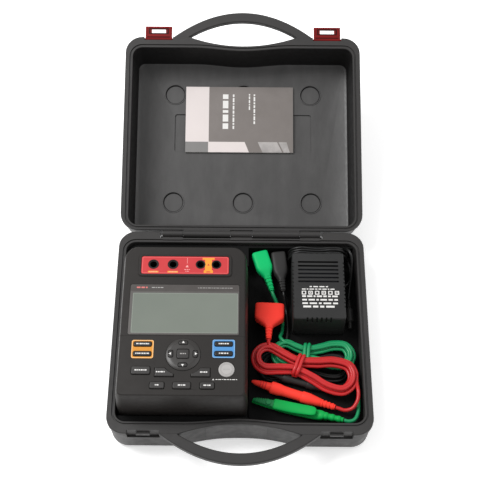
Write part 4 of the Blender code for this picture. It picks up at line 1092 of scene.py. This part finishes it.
def circle_beads():
    """A raised bead round each round recess of the lid's inner face, and inside it a thin dark ring that
    paints the shade along the recess's wall.
    """
    bead_low, shade_ring_low = LID_FLOOR - 0.7, LID_FLOOR + 1.7
    for column, x in enumerate((-93.0, 1.7, 94.0)):
        for row, from_hinge in enumerate((56.0, 210.0)):
            tag = f"{column}_{row}"
            y = HINGE[1] - from_hinge
            bead = ring_shape(f"lid_bead_{tag}", x, y, 15.0, 1.3, bead_low, "lid", "lid", 0.75, LID_TURN)
            soften(bead, 0.35, 2)
            # painted shade: a thin dark ring on the recess floor along its wall, where shade falls
            ring_shape(f"lid_shade_ring_{tag}", x, y, 13.45, 1.1, shade_ring_low, "lid_shade", "lid", 0.15, LID_TURN)


def hinge_apron():
    """What closes the gap below the hinge's knuckles, and a plug over either end of its bore."""
    half, plug = 104.9, 5.4
    shapes = [(rect(-half, half, 131.2, 137.0), 41.0, 44.9)]
    shapes += [(rect(x0, x0 + plug, 134.9, 139.1), 47.9, 49.9) for x0 in (-110.3, half)]
    soften(slabs("hinge_apron", shapes, "case", "case"), 0.4)


def case():
    refined("case_base", "case", 0.55)
    circle_beads()
    lid_walls(refined("case_lid", "lid", 0.55))
    hinge_apron()
    refined("foam_insert", "foam", 0.8)
    refined("hinge_pin", "steel", 0.2)
    for side, x in (("left", -LATCH_X), ("right", LATCH_X)):
        refined(f"latch_{side}", "latch", 0.3)
        latch_ribs(f"latch_{side}", x)


def book_shape(outline, layer):
    """A printed area on the booklet's cover; layers lie over one another."""
    return (outline, BOOK_FACE - PRINT * (layer + 1), BOOK_FACE - PRINT * layer)


def booklet():
    x0, x1, y0, y1 = BOOK_BOX
    band = -4.2
    refined("manual_booklet", "paper", 0.15)

    def on_cover(name, shapes, mat):
        slabs(name, shapes, mat, "lid", turn=LID_TURN)

    on_cover("booklet_cover", [book_shape(rect(x0, x1, y0, y1), 0)], "cover")
    light = [book_shape(rect(x0, -46.0, y0, band), 1)]
    light.append(book_shape([(-46.6, band), (3.4, band), (9.4, y1), (-46.6, y1)], 1))
    on_cover("booklet_light_areas", light, "cover_light")
    on_cover("booklet_square", [book_shape(rect(x0, -46.6, band, y1), 1)], "cover_mid")
    patches = [book_shape([(21.5, band), (48.0, band), (55.0, y1), (28.0, y1)], 1),
               book_shape([(50.0, band), (61.0, band), (65.5, y1), (57.2, y1)], 1)]
    on_cover("booklet_patches", patches, "cover_pale")
    low = BOOK_FACE - 2 * PRINT
    title = dashes(-23.2, -47.8, 50.0, 7.6, 5, low, True) + dashes(-12.2, -47.8, 50.0, 2.2, 9, low, True)
    title += dashes(9.8, -62.0, 23.0, 1.8, 5, low, True) + dashes(16.6, -51.6, 43.0, 2.2, 8, low, True)
    on_cover("booklet_marks", title, "white")


# the record's slots that have a material of the same name, and the materials that share a slot
SLOTS = ("case_plastic", "foam_black", "latch_red", "housing_plastic", "panel_red", "socket_black",
         "lcd_green", "plate_orange", "plate_blue", "key_dark", "key_pale", "adaptor_plastic", "lead_green",
         "lead_red", "lead_black", "steel_bright")
SHARED_SLOTS = {
    "lid_plastic_painted_sheen": "case_plastic", "pad_plastic": "housing_plastic", "key_black": "key_dark",
    "cord_green": "lead_green", "clip_green": "lead_green", "clip_dark_green": "lead_green",
    "cord_red": "lead_red", "probe_red": "lead_red", "plug_black": "lead_black",
    "booklet_cover": "booklet_paper", "booklet_pages": "booklet_paper",
}


def share_slots():
    """For every look that is not a CAD node, looks up the record's slot for its material; it puts the look
    in none.
    """
    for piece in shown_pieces():
        material = piece.data.materials[0].name
        if "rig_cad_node" not in piece and (material in SLOTS or material in SHARED_SLOTS):
            SHARED_SLOTS.get(material, material)


# --- Build ---
studio()
leads()
dc_cord()
tester_body()
terminals()
display()
keys()
adaptor()
case()
booklet()
share_slots()
